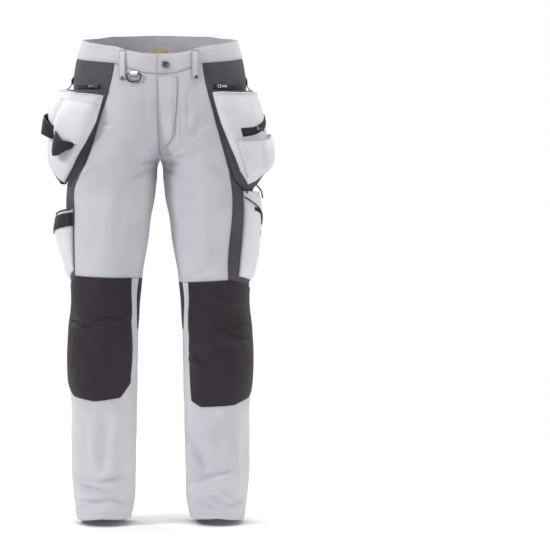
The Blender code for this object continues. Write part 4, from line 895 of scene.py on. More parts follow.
@dataclass
class BodyCloth:
    """The cut pieces of both legs and the seat."""

    cell: float = CELL
    place_gap: float = 0.011
    sheets: dict[str, Sheet] = field(default_factory=dict)

    def cut(self, side: Side, first: float, last: float, top: str, foot: str,
            cell: float | None = None) -> Sheet:
        """A grid of the body cloth between two long seams and two cross seams."""
        heights = [row_height(side, name, np.array([first, (first + last) / 2, last]))
                   for name in (top, foot)]
        rows = round(float(np.mean(heights[0] - heights[1])) / (cell or self.cell))
        cols = max(10, round((last - first) * PLACE_WIDTH / (cell or self.cell)))
        v, u = grid(rows, cols)
        place = lerp(first + self.place_gap, last - self.place_gap, u)
        high = row_height(side, top, place) - HALF_SEAM
        low = row_height(side, foot, place) + HALF_SEAM
        return CLOTHS[side].at(place, lerp(high, low, v))

    def build(self) -> None:
        """Make every cut piece of both sides."""
        for side in Side:
            self.build_side(side)

    def build_side(self, side: Side) -> None:
        """Make the cut pieces of one side, and keep their sheets by name."""
        rows = [
            # piece, first and last place, top and foot seam, finish and slot, wall
            ("front_thigh", 0, 12, "band_foot", "thigh_foot", WHITE, CLOTH),
            ("side_panel", 12, 18, "band_foot", "thigh_foot", NUBBY, HEAVY),
            ("back_thigh", 18, 30, "band_foot", "thigh_foot", WHITE, CLOTH),
            ("front_shin", 0, 15, "thigh_foot", "hem", WHITE, CLOTH),
            ("back_knee", 15, 30, "thigh_foot", "knee_back_foot", ("black_knit", "black_stretch"),
             CLOTH),
            ("back_calf", 15, 30, "knee_back_foot", "guard_top", WHITE, CLOTH),
            ("heel_guard", 15, 30, "guard_top", "hem", PATCH, CLOTH),
        ]
        for title, first, last, top, foot, look, wall in rows:
            name = f"{title}_{side.label}"
            self.sheets[name] = self.puckered(self.cut(side, first, last, top, foot))
            piece_of(name, self.sheets[name], wall, look)
        self.build_patch(side)

    def puckered(self, sheet: Sheet) -> Sheet:
        """The sheet with the shallow ripples that sewing leaves a few millimetres in."""
        gap = sheet.edge_gap()
        down, across = sheet.lengths()
        ripple = np.sin(down / 2.1 + 1.3 * np.sin(down / 17)) * np.sin(across / 2.9 + 0.7)
        return sheet.raised(0.22 * bell(gap, 5, 3.5) * ripple)

    def build_patch(self, side: Side) -> None:
        """The knee patch, sewn over the shin and a little fuller in its middle."""
        name = f"knee_patch_{side.label}"
        under = self.cut(side, 3.05, 14.93, "thigh_foot", "patch_foot", 4.0)
        down, across = under.spread()
        full = 3.2 * (dome(np.clip(across, 0, 1)) * dome(np.clip(down, 0, 1))) ** 0.7
        sheet = self.puckered(under.raised(full + LAY + HEAVY))
        self.sheets[name] = sheet
        piece_of(name, sheet, HEAVY, PATCH, 0.8)


@dataclass
class Waist:
    """The waistband, the fly and the belt loops."""

    lift: float = 0.6
    wall: float = 2.6
    fly_wall: float = 1.2
    loop_wall: float = 1.9
    fly_top: float = -68.0
    fly_foot: float = -238.0
    fly_edge: float = 0.45
    fly_places: float = 3.0
    band: Sheet | None = None
    fly: Sheet | None = None
    loops: list[Sheet] = field(default_factory=list)

    def build(self) -> None:
        """Make the band, the fly and the loops."""
        self.build_band()
        self.build_fly()
        loops = [
            ("belt_loop_front_right", Face.FRONT, -80.5, 13, -12, -75, 0),
            ("belt_loop_front_left", Face.FRONT, 76, 15, -12, -73, 0),
            ("belt_loop_back_right", Face.BACK, -112, 14, 15, -40, 0),
            ("belt_loop_back_left", Face.BACK, 112, 14, 15, -40, 0),
            ("belt_loop_centre", Face.BACK, 6, 34, 20, -44, -37),
        ]
        for name, face, middle, width, top, foot, twist in loops:
            self.build_loop(name, face, middle, width, top, foot, twist)

    def half(self, side: Side, places: np.ndarray, rows: int) -> Sheet:
        """One side's part of the band over some places."""
        v, place = np.meshgrid(stations(rows), places, indexing="ij")
        high = row_height(side, "waist_top", place)
        low = row_height(side, "band_foot", place) + 2 * HALF_SEAM
        return CLOTHS[side].at(place, lerp(high, low, v))

    def build_band(self) -> None:
        """The folded band, open at the fly's edge, with a soft roll at its top."""
        rows, step = 11, 0.28
        start = self.half(Side.RIGHT, np.arange(self.fly_edge + 0.05, 30.001, step), rows)
        middle = self.half(Side.LEFT, np.arange(29.8, -0.001, -step), rows)
        end = self.half(Side.RIGHT, np.linspace(0.12, self.fly_edge, 4), rows)
        joined = Sheet(*(np.concatenate([getattr(part, kind) for part in (start, middle, end)],
                                        axis=1) for kind in ("points", "normals")))
        down, across = joined.lengths()
        soft = 0.18 * np.sin(across / 3.3 + np.sin(across / 40)) * bell(down, 5, 3)
        soft += 0.18 * np.sin(across / 2.9) * bell(down[-1:] - down, 4, 3)
        self.band = joined.raised(self.lift + soft)
        piece_of("waistband", self.band, self.wall, WHITE, 0.9)

    def front_at(self, place: np.ndarray, z: np.ndarray) -> Sheet:
        """The front cloth by place, a negative place lying on the wearer's right."""
        right = CLOTHS[Side.RIGHT].at(np.maximum(-place, 0), z)
        left = CLOTHS[Side.LEFT].at(np.maximum(place, 0), z)
        on_left = (place >= 0)[..., None]
        normal = np.where(on_left, left.normals, right.normals)
        near = np.clip(1 - np.abs(place) / 0.4, 0, 1)[..., None]
        normal = unit(normal * (1 - near * np.array([1.0, 0, 0])))
        return Sheet(np.where(on_left, left.points, right.points), normal)

    def build_fly(self) -> None:
        """The fly's facing, whose stitched side edge curves in to the seam at its foot."""
        rows, cols = 44, 12
        v, u = grid(rows, cols)
        z = lerp(self.fly_top, self.fly_foot, v)
        bend = np.clip((-z - 190) / 49, 0, 1)
        last = self.fly_places * np.sqrt(np.maximum(1 - bend**2, 0.02))
        place = lerp(np.full_like(last, -self.fly_edge), last, u)
        under = self.front_at(place, z)
        self.fly = under.raised(LAY + 1.0 + self.fly_wall)
        piece_of("fly", self.fly, self.fly_wall, WHITE, 0.7)

    def build_loop(self, name: str, face: Face, middle: float, width: float, top: float,
                   foot: float, twist: float) -> None:
        """A belt loop, tacked flat at its ends and a little proud of the band between them."""
        under = rectangle(face, middle, width, top, foot, twist, 2.6)
        down, across = under.spread()
        arch = 1.6 * dome(np.clip((down - 0.08) / 0.84, 0, 1)) ** 0.6
        rolled = 0.35 * dome(across) ** 0.4
        outer = under.raised(self.lift + LAY + 0.4 + self.loop_wall + arch + rolled)
        self.loops.append(outer)
        piece_of(name, outer, self.loop_wall, WHITE)


# Tool holster backings: height, front edge and outer edge from the centre plane, how far back
# the outer edge lies, and how far the backing bows out between its edges.
HOLSTERS = {
    Side.RIGHT: [(-97, 109, 209, 16, 25), (-125, 119, 218, 14, 24), (-160, 131, 227, 12, 21),
                 (-205, 146, 233, 10, 18), (-240, 159, 238, 6, 15), (-268, 170, 236, -4, 12),
                 (-288, 186, 229, -18, 8), (-305, 206, 216, -32, 2)],
    Side.LEFT: [(-99, 107, 204, 16, 27), (-127, 114, 216, 14, 25), (-160, 124, 224, 12, 22),
                (-205, 137, 230, 10, 19), (-245, 147, 240, 6, 16), (-268, 153, 238, -2, 14),
                (-292, 161, 222, -20, 9), (-316, 182, 203, -40, 2)],
}


def rounded_fill(across: np.ndarray, edge: float = 0.16) -> np.ndarray:
    """How full a pocket stands between its side edges: a quarter circle in from each edge."""
    near = np.clip(np.minimum(across, 1 - across) / edge, 0, 1)
    return np.sqrt(np.maximum(1 - (1 - near) ** 2, 0))


def sewn_on(name: str, under: Sheet, height: np.ndarray | float, lift: float, wall: float,
            look: tuple[str, str], soft_edge: float = 0.6) -> Sheet:
    """A piece of cloth sewn over a sheet, standing off it by a height. Gives its outer face."""
    outer = under.raised(np.asarray(height) + lift + wall)
    piece_of(name, outer, wall, look, soft_edge)
    return outer.renewed()


@dataclass
class Holster:
    """A tool holster: dark backing, hanging bag and what is sewn on the bag."""

    side: Side
    hip_air: float = 4.2
    seat_air: float = 2.15
    seated_above: float = -275.0
    columns: int = 30
    backing: Sheet | None = None
    face: Sheet | None = None
    pockets: list[Sheet] = field(default_factory=list)
    loops: list[Sheet] = field(default_factory=list)

    def build(self) -> None:
        """Make the backing and the bag, then the side's own pockets."""
        self.build_backing()
        self.build_bag()
        if self.side is Side.RIGHT:
            self.build_right()
        else:
            self.build_left()

    def build_backing(self) -> None:
        """The backing: a bowed line from the hip to the outer edge at each height."""
        rows = table(HOLSTERS[self.side])[::-1]
        count = round((rows[-1, 0] - rows[0, 0]) / CELL)
        z = lerp(rows[-1, 0], rows[0, 0], stations(count))
        front, outer, back, bow = (curve_through(z, rows, k) for k in (1, 2, 3, 4))
        mid_x, half_x, _, _ = section_at(z)
        turn = np.arccos(np.clip((mid_x - front) / half_x, -1, 1))
        cloth = CLOTHS[self.side]
        plain, out = cloth.plain(turn, z), cloth.outward(turn, z)
        hip = plain + out * self.hip_air
        seat = np.where((z > self.seated_above)[:, None], plain + out * self.seat_air, hip)
        flip = np.array([self.side.value, 1.0])
        start, end = hip[:, :2] * flip, np.stack([outer, back], axis=-1)
        line = end - start
        normal = unit(np.stack([line[:, 1], -line[:, 0]], axis=-1))
        share = stations(self.columns)[None, :, None]
        flat = (start[:, None] + line[:, None] * share
                + normal[:, None] * bow[:, None, None] * 4 * share * (1 - share))
        height = np.broadcast_to(z[:, None, None], flat.shape[:2] + (1,))
        points = np.concatenate([flat * flip, height], axis=-1)
        points = points + (seat - hip)[:, None] * np.clip(1 - share * 8, 0, 1) ** 1.5
        towards = np.broadcast_to(np.array([self.side.value * 0.7, -0.7, 0]), points.shape)
        self.backing = Sheet(points, towards).renewed()
        down, across = self.backing.lengths()
        waves = 0.5 * np.sin(down / 23 + across / 19) + 0.3 * np.sin(down / 9 - across / 15)
        self.backing = self.backing.raised(waves * np.clip(across / 30, 0, 1)).renewed()
        label = self.side.label
        piece_of(f"holster_back_{label}", self.backing, HEAVY, NUBBY, 0.6)

    def across_at(self, height: float, x: float) -> float:
        """The fraction across the backing at a height and a distance from the centre plane."""
        row = self.backing.points[round(self.backing.down_at(height) * (self.backing.shape[0] - 1))]
        return float(np.interp(x, np.abs(row[:, 0]), np.linspace(0, 1, len(row))))

    def build_bag(self) -> None:
        """The white bag, its front edge slanting away from the hip down to the holster's tip."""
        if self.side is Side.RIGHT:
            front = [(-104, 119), (-158, 135), (-205, 159), (-253, 186), (-290, 205)]
            foot = ((0, -299), (0.35, -299), (0.65, -293), (1, -272))
            top, slim = ((0, -112), (1, -99)), 0.4
        else:
            front = [(-106, 114), (-169, 132), (-217, 151), (-271, 173), (-298, 190)]
            foot = ((0, -300), (0.4, -303), (0.7, -296), (1, -270))
            top, slim = ((0, -103.5), (1, -109)), 0.75
        high, low = front[0][0], front[-1][0]
        slant = marks(*(((high - z) / (high - low), self.across_at(z, x)) for z, x in front))
        bag = self.backing.window(self.backing.line_at(*top), self.backing.line_at(*foot), slant,
                                  0.975, 4.0)
        down, across = bag.spread()
        full = np.interp(down, [0, 0.3, 0.65, 0.9, 1], [11, 17, 17, 8, 0])
        sag = 1 + 0.10 * np.sin(7 * across + 4 * down) + 0.06 * np.sin(13 * down - 5 * across)
        dent = 2.6 * bell(down - 0.9 + 0.5 * across, 0, 0.07) * dome(across)
        full = full * (1 - slim * np.clip((across - 0.5) / 0.5, 0, 1) ** 1.2
                       * np.clip(1.35 - down, 0, 1))
        height = np.maximum(full * rounded_fill(across) * sag - dent * (down > 0.3), 0)
        label = self.side.label
        self.face = sewn_on(f"holster_bag_{label}", bag, height, LAY + 0.25, CLOTH, LIT_COPY)

    def build_right(self) -> None:
        """The upper pocket, two cells wide, and the webbing tool loops below it."""
        foot = self.face.line_at((0, -206), (0.3, -214), (0.58, -200), (0.62, -178), (1, -172))
        pocket = self.face.window(self.face.down_at(-120), foot, 0.06, 0.93)
        down, across = pocket.spread()
        cells = np.maximum(rounded_fill(np.clip(across / 0.6, 0, 1), 0.25),
                           rounded_fill(np.clip((across - 0.6) / 0.4, 0, 1), 0.3))
        height = 10 * cells * dome(0.1 + 0.88 * down) ** 0.5
        height = height - 4 * bell(across, 0.6, 0.05) * dome(down) ** 0.4
        height = np.maximum(height * (1 + 0.12 * np.sin(9 * across + 6 * down)), 0) * (down < 0.995)
        self.pockets.append(sewn_on("holster_pocket_right", pocket, height, LAY, 1.4, LIT_COPY))
        straps = (
            # name, upper and lower edge as pairs of fraction across and height
            ("inner", [(0.13, -207), (0.33, -201), (0.56, -182)],
             [(0.13, -219), (0.22, -233), (0.38, -237), (0.56, -221)]),
            ("outer", [(0.60, -179), (0.8, -169), (0.99, -156)],
             [(0.60, -207), (0.8, -206), (0.99, -196)]),
        )
        for name, upper, lower in straps:
            strap = self.face.window(self.face.line_at(*upper), self.face.line_at(*lower),
                                     upper[0][0], upper[-1][0], 2.6)
            down, across = strap.spread()
            hump = 16.5 * dome(across) ** 0.7
            self.loops.append(sewn_on(f"tool_loop_{name}", strap, hump, LAY, 2.0, WEBBING,
                                      0.4))

    def build_left(self) -> None:
        """The lower pocket with its standing fold."""
        pocket = self.face.window(self.face.down_at(-206), self.face.down_at(-284), 0.1, 0.92)
        down, across = pocket.spread()
        full = 8 * rounded_fill(across) * np.cos(math.pi * np.clip(down, 0, 1) / 2) ** 0.6
        fold = 5.0 * bell(across, 0.42, 0.07) * dome(down) ** 0.6
        ridge = 1.6 * bell(across, 0.54, 0.08) * dome(down)
        height = np.maximum(full - fold + ridge, 0)
        self.pockets.append(sewn_on("holster_pocket_left", pocket, height, LAY, 1.4, LIT_COPY))


@dataclass
class SeatPocket:
    """A patch pocket on the seat, its mouth trimmed with a dark band."""

    side: Side
    full: float = 5.0
    cell: float = 4.2
    wide: float = 132
    places: tuple[float, float] = (18.13, 27.0)
    bag: Sheet | None = None
    band: Sheet | None = None

    def window(self, top: str, foot: str) -> Sheet:
        """The seat's cloth between two cross lines of the pocket."""
        v, u = grid(9 if top == "pocket_top" else 30, round(self.wide / self.cell))
        place = lerp(*self.places, u)
        return CLOTHS[self.side].at(place, lerp(row_height(self.side, top, place),
                                                row_height(self.side, foot, place), v))

    def build(self) -> None:
        """Make the bag and its band."""
        label = self.side.label
        bag = self.window("pocket_band", "pocket_foot")
        down, across = bag.spread()
        down, across = np.clip(down, 0, 1), np.clip(across, 0, 1)
        height = self.full * dome(across) ** 0.6 * np.cos(math.pi * down / 2) ** 0.8
        height = height * np.clip(down / 0.1, 0, 1)
        self.bag = sewn_on(f"back_pocket_{label}", bag, height, LAY + 0.4, 1.4, WHITE,
                           0.9)
        band = self.window("pocket_top", "pocket_band")
        band = Sheet(band.points[:-1], band.normals[:-1])
        down, across = band.spread()
        ripple = 0.5 * np.sin(across * 23) * dome(down)
        self.band = sewn_on(f"back_pocket_band_{label}", band, ripple, LAY + 0.5, 1.6, NUBBY,
                            0.7)


@dataclass
class ThighPockets:
    """The left thigh's cargo pocket with its flap, and the right thigh's ruler pocket."""

    cargo_face: Sheet | None = None
    ruler_face: Sheet | None = None
    flap: Sheet | None = None
    strap: Sheet | None = None

    def window(self, side: Side, first: float, last: float, top: float, foot: float,
               cell: float = 3.6) -> Sheet:
        """The thigh's cloth between two places, by fractions from the crotch to the knee."""
        rows, cols = round((foot - top) * 250 / cell), round((last - first) * 17 / cell)
        v, u = grid(rows, cols)
        place, share = lerp(first, last, u), lerp(top, foot, v)
        high, low = (row_height(side, name, place) for name in ("crotch", "thigh_foot"))
        return CLOTHS[side].at(place, lerp(high, low, share))

    def build(self) -> None:
        """Make both pockets."""
        self.build_cargo()
        self.build_ruler()

    def build_cargo(self) -> None:
        """A full bag with a flap whose lower edge slants down towards the back."""
        bag = self.window(Side.LEFT, 12.75, 17.4, 0.165, 0.944)
        down, across = bag.spread()
        full = np.interp(down, [0, 0.35, 0.7, 0.92, 1], [9, 15, 15, 8, 0])
        folds = 1.5 * bell(across - 0.3 - 0.2 * down, 0, 0.06) * dome(down)
        folds += 1.2 * bell(down - 0.72 - 0.2 * across, 0, 0.03) * dome(across)
        height = np.maximum(full * rounded_fill(across, 0.2) * (1 + 0.06 * np.sin(8 * down)) - folds, 0)
        self.cargo_face = sewn_on("cargo_pocket", bag, height, LAY + 0.3, CLOTH, LIT_COPY,
                                  0.8)
        flap = self.cargo_face.window(0.0, marks((0, 0.07), (0.45, 0.36), (0.62, 0.40), (1, 0.41)),
                                      0.0, 1.0, 3.2)
        down, across = flap.spread()
        height = 1.5 * down + 0.8 * dome(across) * down
        self.flap = sewn_on("cargo_flap", flap, height, LAY + 0.3, 1.6, LIT_COPY,
                            0.8)

    def build_ruler(self) -> None:
        """A narrow full pocket with a webbing strap across its mouth."""
        bag = self.window(Side.RIGHT, 12.18, 17.82, 0.354, 0.939)
        down, across = bag.spread()
        full = np.interp(down, [0, 0.25, 0.6, 0.9, 1], [19, 25, 17, 7, 0])
        folds = 1.8 * bell(down - 0.55 - 0.3 * across, 0, 0.04) * dome(across)
        height = np.maximum(full * rounded_fill(across, 0.3) * (1 + 0.05 * np.sin(9 * down)) - folds, 0)
        self.ruler_face = sewn_on("ruler_pocket", bag, height, LAY, CLOTH, LIT_COPY,
                                  0.8)
        strap = self.ruler_face.window(0.075, 0.285, 0.0, 1.0, 3.0)
        self.strap = sewn_on("ruler_strap", strap, 0.0, LAY + 0.2, 1.6, WEBBING,
                             0.5)


def tube_mesh(name: str, path: np.ndarray, radius: np.ndarray | float, sides: int = 8
              ) -> bpy.types.Object:
    """A closed tube along a path: rings of points square to it, with a fan at each end.

    Args:
        name: the object's name.
        path: points in millimetres.
        radius: one number or one for each point.
        sides: points in a ring.
    """
    along = unit(np.gradient(path, axis=0))
    helper = np.where(np.abs(along[:, 2:3]) > 0.9, np.array([[1.0, 0, 0]]), np.array([[0, 0, 1.0]]))
    side = unit(np.cross(along, helper))
    up = np.cross(side, along)
    turn = np.linspace(0, 2 * math.pi, sides, endpoint=False)[None, :, None]
    reach = np.broadcast_to(np.asarray(radius, float), len(path))[:, None, None]
    rings = path[:, None] + reach * (side[:, None] * np.cos(turn) + up[:, None] * np.sin(turn))
    quads, count = ring_quads(len(path), sides), len(path) * sides
    rim = np.arange(sides)
    after = np.roll(rim, -1)
    start = np.stack([rim, after, np.full(sides, count)], axis=-1)
    end = np.stack([after, rim, np.full(sides, 1)], axis=-1) + count - np.array([sides, sides, 0])
    vertices = np.concatenate([rings.reshape(-1, 3), path[[0, -1]]])
    return mesh_object(name, vertices, np.concatenate([in_triangles(quads), start, end]))


@dataclass
class Cords:
    """The short cord at the left holster and the longer one at the right knee."""

    radius: float = 1.6
    holster_route: tuple[tuple[float, float, float], ...] = (
        (211.74, -29.46, -303.82), (212.2, -25.51, -306.93), (215.4, -24.39, -310.64),
        (219.44, -24.56, -314.85), (221.9, -24.13, -319.47), (223.43, -23.58, -324.48),
        (224.29, -23.22, -329.61), (224.74, -22.96, -334.82))
    knee_route: tuple[tuple[float, float, float], ...] = (
        (-184.12, 40.17, -654.98), (-186.96, 42.2, -654.98), (-188.85, 43.84, -657.56),
        (-189.9, 44.65, -660.9), (-190.57, 45.18, -664.38), (-190.9, 45.5, -667.92),
        (-191.05, 45.69, -671.5), (-191.24, 45.88, -675.06), (-191.4, 46.01, -678.62),
        (-191.51, 46.08, -682.18), (-191.6, 46.12, -685.75), (-191.68, 46.15, -689.32),
        (-191.78, 46.19, -692.88), (-191.87, 46.21, -696.45), (-191.95, 46.2, -700.02),
        (-192.02, 46.19, -703.58), (-192.08, 46.18, -707.15), (-192.12, 46.17, -710.71),
        (-192.14, 46.17, -714.28), (-192.14, 46.17, -717.85), (-192.13, 46.17, -721.41),
        (-192.12, 46.17, -724.98))

    def build(self) -> None:
        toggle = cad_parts["cord_toggle"]
        for name, route, end, carried in (("cord_holster", self.holster_route, "bare", []),
                                          ("cord_knee", self.knee_route, "fitting", [toggle])):
            at = run_lengths(table(list(route)))
            rows = np.column_stack([at, table(list(route))])
            fine = np.linspace(0, at[-1], max(16, round(at[-1] / 2.2)))
            path = np.stack([curve_through(fine, rows, k) for k in (1, 2, 3)], axis=-1)
            wound = self.radius * (1 + 0.06 * np.sin(fine * 2.4))
            wound[-2:] *= 0.9 if end == "bare" else 1.0
            piece = tube_mesh(f"braided_{name}", path, wound, 12)
            settle(piece, Held("black_cord", "webbing", (name,)))


@dataclass
class Stage:
    """Camera at the photograph's angle, pale floor and world, soft studio light."""

    aim: tuple[float, float, float] = (0.252, -0.03, -0.504)
    eye: tuple[float, float, float] = (0.0, -7.0, -0.1)
    lens: float = 208.0
    seen: float = 1.0          # strength of the studio's white to the camera
    around: float = 0.25       # and as light on the piece
    floor_sides: int = 96
    floor_radius: float = 1700.0
    floor_top: float = -1055.5
    floor_depth: float = 40.0

    def build(self) -> None:
        """Make the camera first, then the floor and the lights."""
        camera = bpy.data.cameras.new("camera")
        camera.lens, camera.sensor_width = self.lens, 36.0
        camera.clip_end = 60.0
        bpy.context.scene.camera = self.aimed("camera", camera, self.eye, self.aim)
        self.build_floor()
        self.build_world()
        lights = [
            # name, place, size, power, aimed at
            ("key", (-3.0, -1.5, 1.7), 0.9, 96, (0, 0, -0.55)),
            ("fill", (3.0, -1.9, 0.3), 1.8, 42, (0, 0, -0.5)),
            ("top", (0.2, 0.1, 3.2), 3.0, 150, (0, 0, -1.0)),
            ("rear_left", (-2.2, 3.0, 1.5), 1.6, 66, (0, 0, -0.55)),
            ("rear_right", (2.6, 2.4, 0.8), 2.4, 32, (0, 0, -0.5)),
        ]
        for name, place, size, power, target in lights:
            light = bpy.data.lights.new(name, "AREA")
            light.energy, light.size = power, size
            self.aimed(name, light, place, target)

    def build_floor(self) -> None:
        """A large pale disc just under the hems."""
        around, above, below = self.floor_sides, self.floor_top, self.floor_top - self.floor_depth
        turn = np.linspace(0, 2 * math.pi, around, endpoint=False)
        rim = self.floor_radius * np.column_stack([np.cos(turn), np.sin(turn), np.zeros(around)])
        upper, lower, axis = rim + (0, 0, above), rim + (0, 0, below), np.zeros((1, 3))
        vertices = np.concatenate([upper, lower, axis + (0, 0, above), axis + (0, 0, below)])
        top = np.arange(around)
        after = np.roll(top, -1)
        faces = np.concatenate([
            np.stack([top, after, np.full(around, 2 * around)], axis=-1),
            np.stack([after + around, top + around, np.full(around, 2 * around + 1)], axis=-1),
            np.stack([top, top + around, after + around], axis=-1),
            np.stack([top, after + around, after], axis=-1)])
        floor = mesh_object("floor", vertices, faces)
        graph = Graph("floor_paint", Specular_IOR_Level=0.2)
        cloud = graph.noise(2.5, 3)
        floor.data.materials.append(graph.done(
            Base_Color=graph.between(cloud, (0.86, 0.86, 0.865), (0.9, 0.9, 0.9)),
            Roughness=(cloud - 0.5) * 0.1 + 0.85))

    def build_world(self) -> None:
        """A white studio all round that lights the piece less than it shows."""
        world = bpy.data.worlds.new("studio")
        world.use_nodes = True
        tree = world.node_tree
        ray = tree.nodes.new("ShaderNodeLightPath")
        ramp = tree.nodes.new("ShaderNodeMapRange")
        tree.links.new(ray.outputs["Is Camera Ray"], ramp.inputs["Value"])
        ramp.inputs["To Min"].default_value, ramp.inputs["To Max"].default_value = (
            self.around, self.seen)
        tree.links.new(ramp.outputs[0], tree.nodes["Background"].inputs["Strength"])
        tree.nodes["Background"].inputs["Color"].default_value = (1.0, 1.0, 1.0, 1.0)
        bpy.context.scene.world = world
        bpy.context.scene.view_settings.view_transform = "Standard"

    def aimed(self, name: str, data: bpy.types.ID, place: tuple[float, ...],
              target: tuple[float, ...]) -> bpy.types.Object:
        """A camera or a light at a place, turned towards a target."""
        held = bpy.data.objects.new(name, data)
        held.location = place
        towards = Vector(target) - Vector(place)
        held.rotation_euler = towards.to_track_quat("-Z", "Y").to_euler()
        bpy.context.scene.collection.objects.link(held)
        return held


# CAD nodes that keep their own shape, by the finish that they get.
KEPT = {
    "silver_metal": ("zip_slider_hand_right", "zip_slider_hand_left", "zip_slider_holster_left"),
    "dark_metal": ("zip_pull_hand_right", "zip_pull_hand_left", "zip_pull_holster_left"),
    "black_plastic": ("ring", "cord_toggle", "adjuster_right", "adjuster_left"),
    "grey_plastic": ("hip_buckle_right", "hip_buckle_left"),
}


def dress_kept() -> None:
    """Give each kept CAD node its finish."""
    for finish, names in KEPT.items():
        for name in names:
            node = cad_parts[name]
            if not node.data.materials:
                node.data.materials.append(FINISHES[finish])
            for slot in node.material_slots:
                slot.material = FINISHES[finish]
            LOG.info("kept %s in %s", name, finish)


class Edge(Enum):
    """The four edges of a grid of cloth."""

    TOP = "top"
    FOOT = "foot"
    FIRST = "first"
    LAST = "last"


def line_along(sheet: Sheet, edge: Edge, inset: float, start: float = 0.0, end: float = 1.0,
               lift: float = 0.0) -> Sheet:
    """A line on a sheet at a distance in from one of its edges.

    Args:
        sheet: the cloth.
        edge: the edge that the line follows.
        inset: distance in from it, in millimetres.
        start, end: fractions along the edge.
        lift: how far the line stands off the cloth.
    """
    down, across = sheet.lengths()
    count = 220
    along = np.linspace(start, end, count)
    if edge in (Edge.TOP, Edge.FOOT):
        wide = np.interp(along, np.linspace(0, 1, sheet.shape[1]), down[-1])
        near = inset / np.maximum(wide, 1)
        line = sheet.at(near if edge is Edge.TOP else 1 - near, along)
    else:
        wide = np.interp(along, np.linspace(0, 1, sheet.shape[0]), across[:, -1])
        near = inset / np.maximum(wide, 1)
        line = sheet.at(along, near if edge is Edge.FIRST else 1 - near)
    return line.raised(lift)


@dataclass
class Stitching:
    """Rows of small stitches in one thread, gathered into one piece.

    Each stitch is a long eight-sided grain: two ends, two sides, a top and a foot, so a row is
    worked out whole from its centres, its direction and the cloth's outward direction.
    """

    name: str
    finish: str
    slot: str
    length: float = 3.0
    width: float = 0.8
    height: float = 0.42
    pitch: float = 4.2
    shoulder: float = 0.16     # how far a stitch's sides stand off the cloth
    sunk: float = 0.12         # how far its ends are sunk
    rows: list[tuple[np.ndarray, np.ndarray, np.ndarray]] = field(default_factory=list)

    def run(self, line: Sheet, pitch: float | None = None) -> None:
        """Lay a row of stitches along a line."""
        at = run_lengths(line.points)
        count = int(at[-1] / (pitch or self.pitch))
        if count < 2:
            return
        centre = (np.arange(count) + 0.5) * at[-1] / count
        point, out = sampled(centre, at, line.points), unit(sampled(centre, at, line.normals))
        along = unit(sampled(centre + 1, at, line.points) - sampled(centre - 1, at, line.points))
        self.rows.append((point, unit(along - out * np.sum(along * out, axis=-1, keepdims=True)), out))

    def edges(self, sheet: Sheet, insets: tuple[float, ...], *edges: Edge, start: float = 0.0,
              end: float = 1.0) -> None:
        """Rows at some distances in from some edges of a sheet."""
        for edge in edges:
            for inset in insets:
                self.run(line_along(sheet, edge, inset, start, end))

    def build(self) -> None:
        """Make the one mesh of all rows."""
        point, along, out = (np.concatenate([row[k] for row in self.rows]) for k in range(3))
        side = np.cross(along, out)
        lift, sunk = out * self.shoulder, out * self.sunk
        corners = np.stack([
            point + along * self.length / 2 - sunk, point + side * self.width / 2 + lift,
            point - along * self.length / 2 - sunk, point - side * self.width / 2 + lift,
            point + out * self.height, point - out * self.height], axis=1)
        pattern = np.array([[0, 1, 4], [1, 2, 4], [2, 3, 4], [3, 0, 4], [1, 0, 5], [2, 1, 5],
                            [3, 2, 5], [0, 3, 5]])
        faces = (pattern[None] + 6 * np.arange(len(point))[:, None, None]).reshape(-1, 3)
        piece = mesh_object(self.name, corners.reshape(-1, 3), faces)
        settle(piece, Held(self.finish, self.slot))


def piping(name: str, line: Sheet, radius: float, look: tuple[str, str] = PIPED) -> None:
    """A thin cord of cloth sewn along a line, half sunk into it."""
    at = run_lengths(line.points)
    fine = np.linspace(0, at[-1], max(12, round(at[-1] / 4)))
    path, out = sampled(fine, at, line.points), sampled(fine, at, line.normals)
    grain = radius * (1 + 0.08 * np.sin(fine * 1.7))
    settle(tube_mesh(name, path + out * radius * 0.3, grain, 8), Held(*look))


def zip_lips(down: np.ndarray) -> np.ndarray:
    """How full the two lips of a zip's tape stand, by fraction across their width."""
    return np.abs(np.sin(2 * math.pi * (down - 0.5))) ** 0.7


def zip_teeth(name: str, tape: Sheet, start: float, end: float, count: int) -> None:
    """A row of metal teeth down the middle of a zip's tape, read at a count of places."""
    teeth = Stitching(name, "dark_metal", "metal", *TEETH)
    teeth.run(tape.at(0.5, np.linspace(start, end, count)).raised(0.2))
    teeth.build()


@dataclass(frozen=True)
class Turned:
    """A round metal piece turned on its own axis, such as a button or a rivet."""

    name: str
    profile: tuple[tuple[float, float], ...]
    finish: str
    slot: str
    replaces: tuple[str, ...] = ()
    around: int = 40

    def build(self, foot: np.ndarray, out: np.ndarray) -> None:
        """Turn the profile (radius, height) about an outward direction from its foot."""
        out = unit(np.asarray(out, float))
        right = unit(np.cross(out, np.array([0.0, 0.0, 1.0])))
        up = np.cross(right, out)
        rim = table(list(self.profile))
        turn = np.linspace(0, 2 * math.pi, self.around, endpoint=False)[None, :, None]
        ring = (foot + rim[:, 1][:, None, None] * out
                + rim[:, 0][:, None, None] * (right * np.cos(turn) + up * np.sin(turn)))
        triangles = in_triangles(ring_quads(len(rim), self.around))
        piece = mesh_object(self.name, ring.reshape(-1, 3), triangles)
        settle(piece, Held(self.finish, self.slot, self.replaces))


RIVET = ((0.001, 1.5), (1.2, 1.45), (1.5, 1.15), (2.6, 1.0), (3.3, 0.55), (3.5, -0.6), (0.001, -0.6))
BUTTON = ((0.001, 1.9), (2.2, 1.9), (2.7, 2.3), (3.4, 2.3), (3.9, 1.8), (5.4, 1.8), (6.1, 2.9),
          (7.1, 3.1), (7.8, 2.6), (8.0, 1.6), (7.6, 0.2), (5.0, -0.3), (0.001, -0.3))


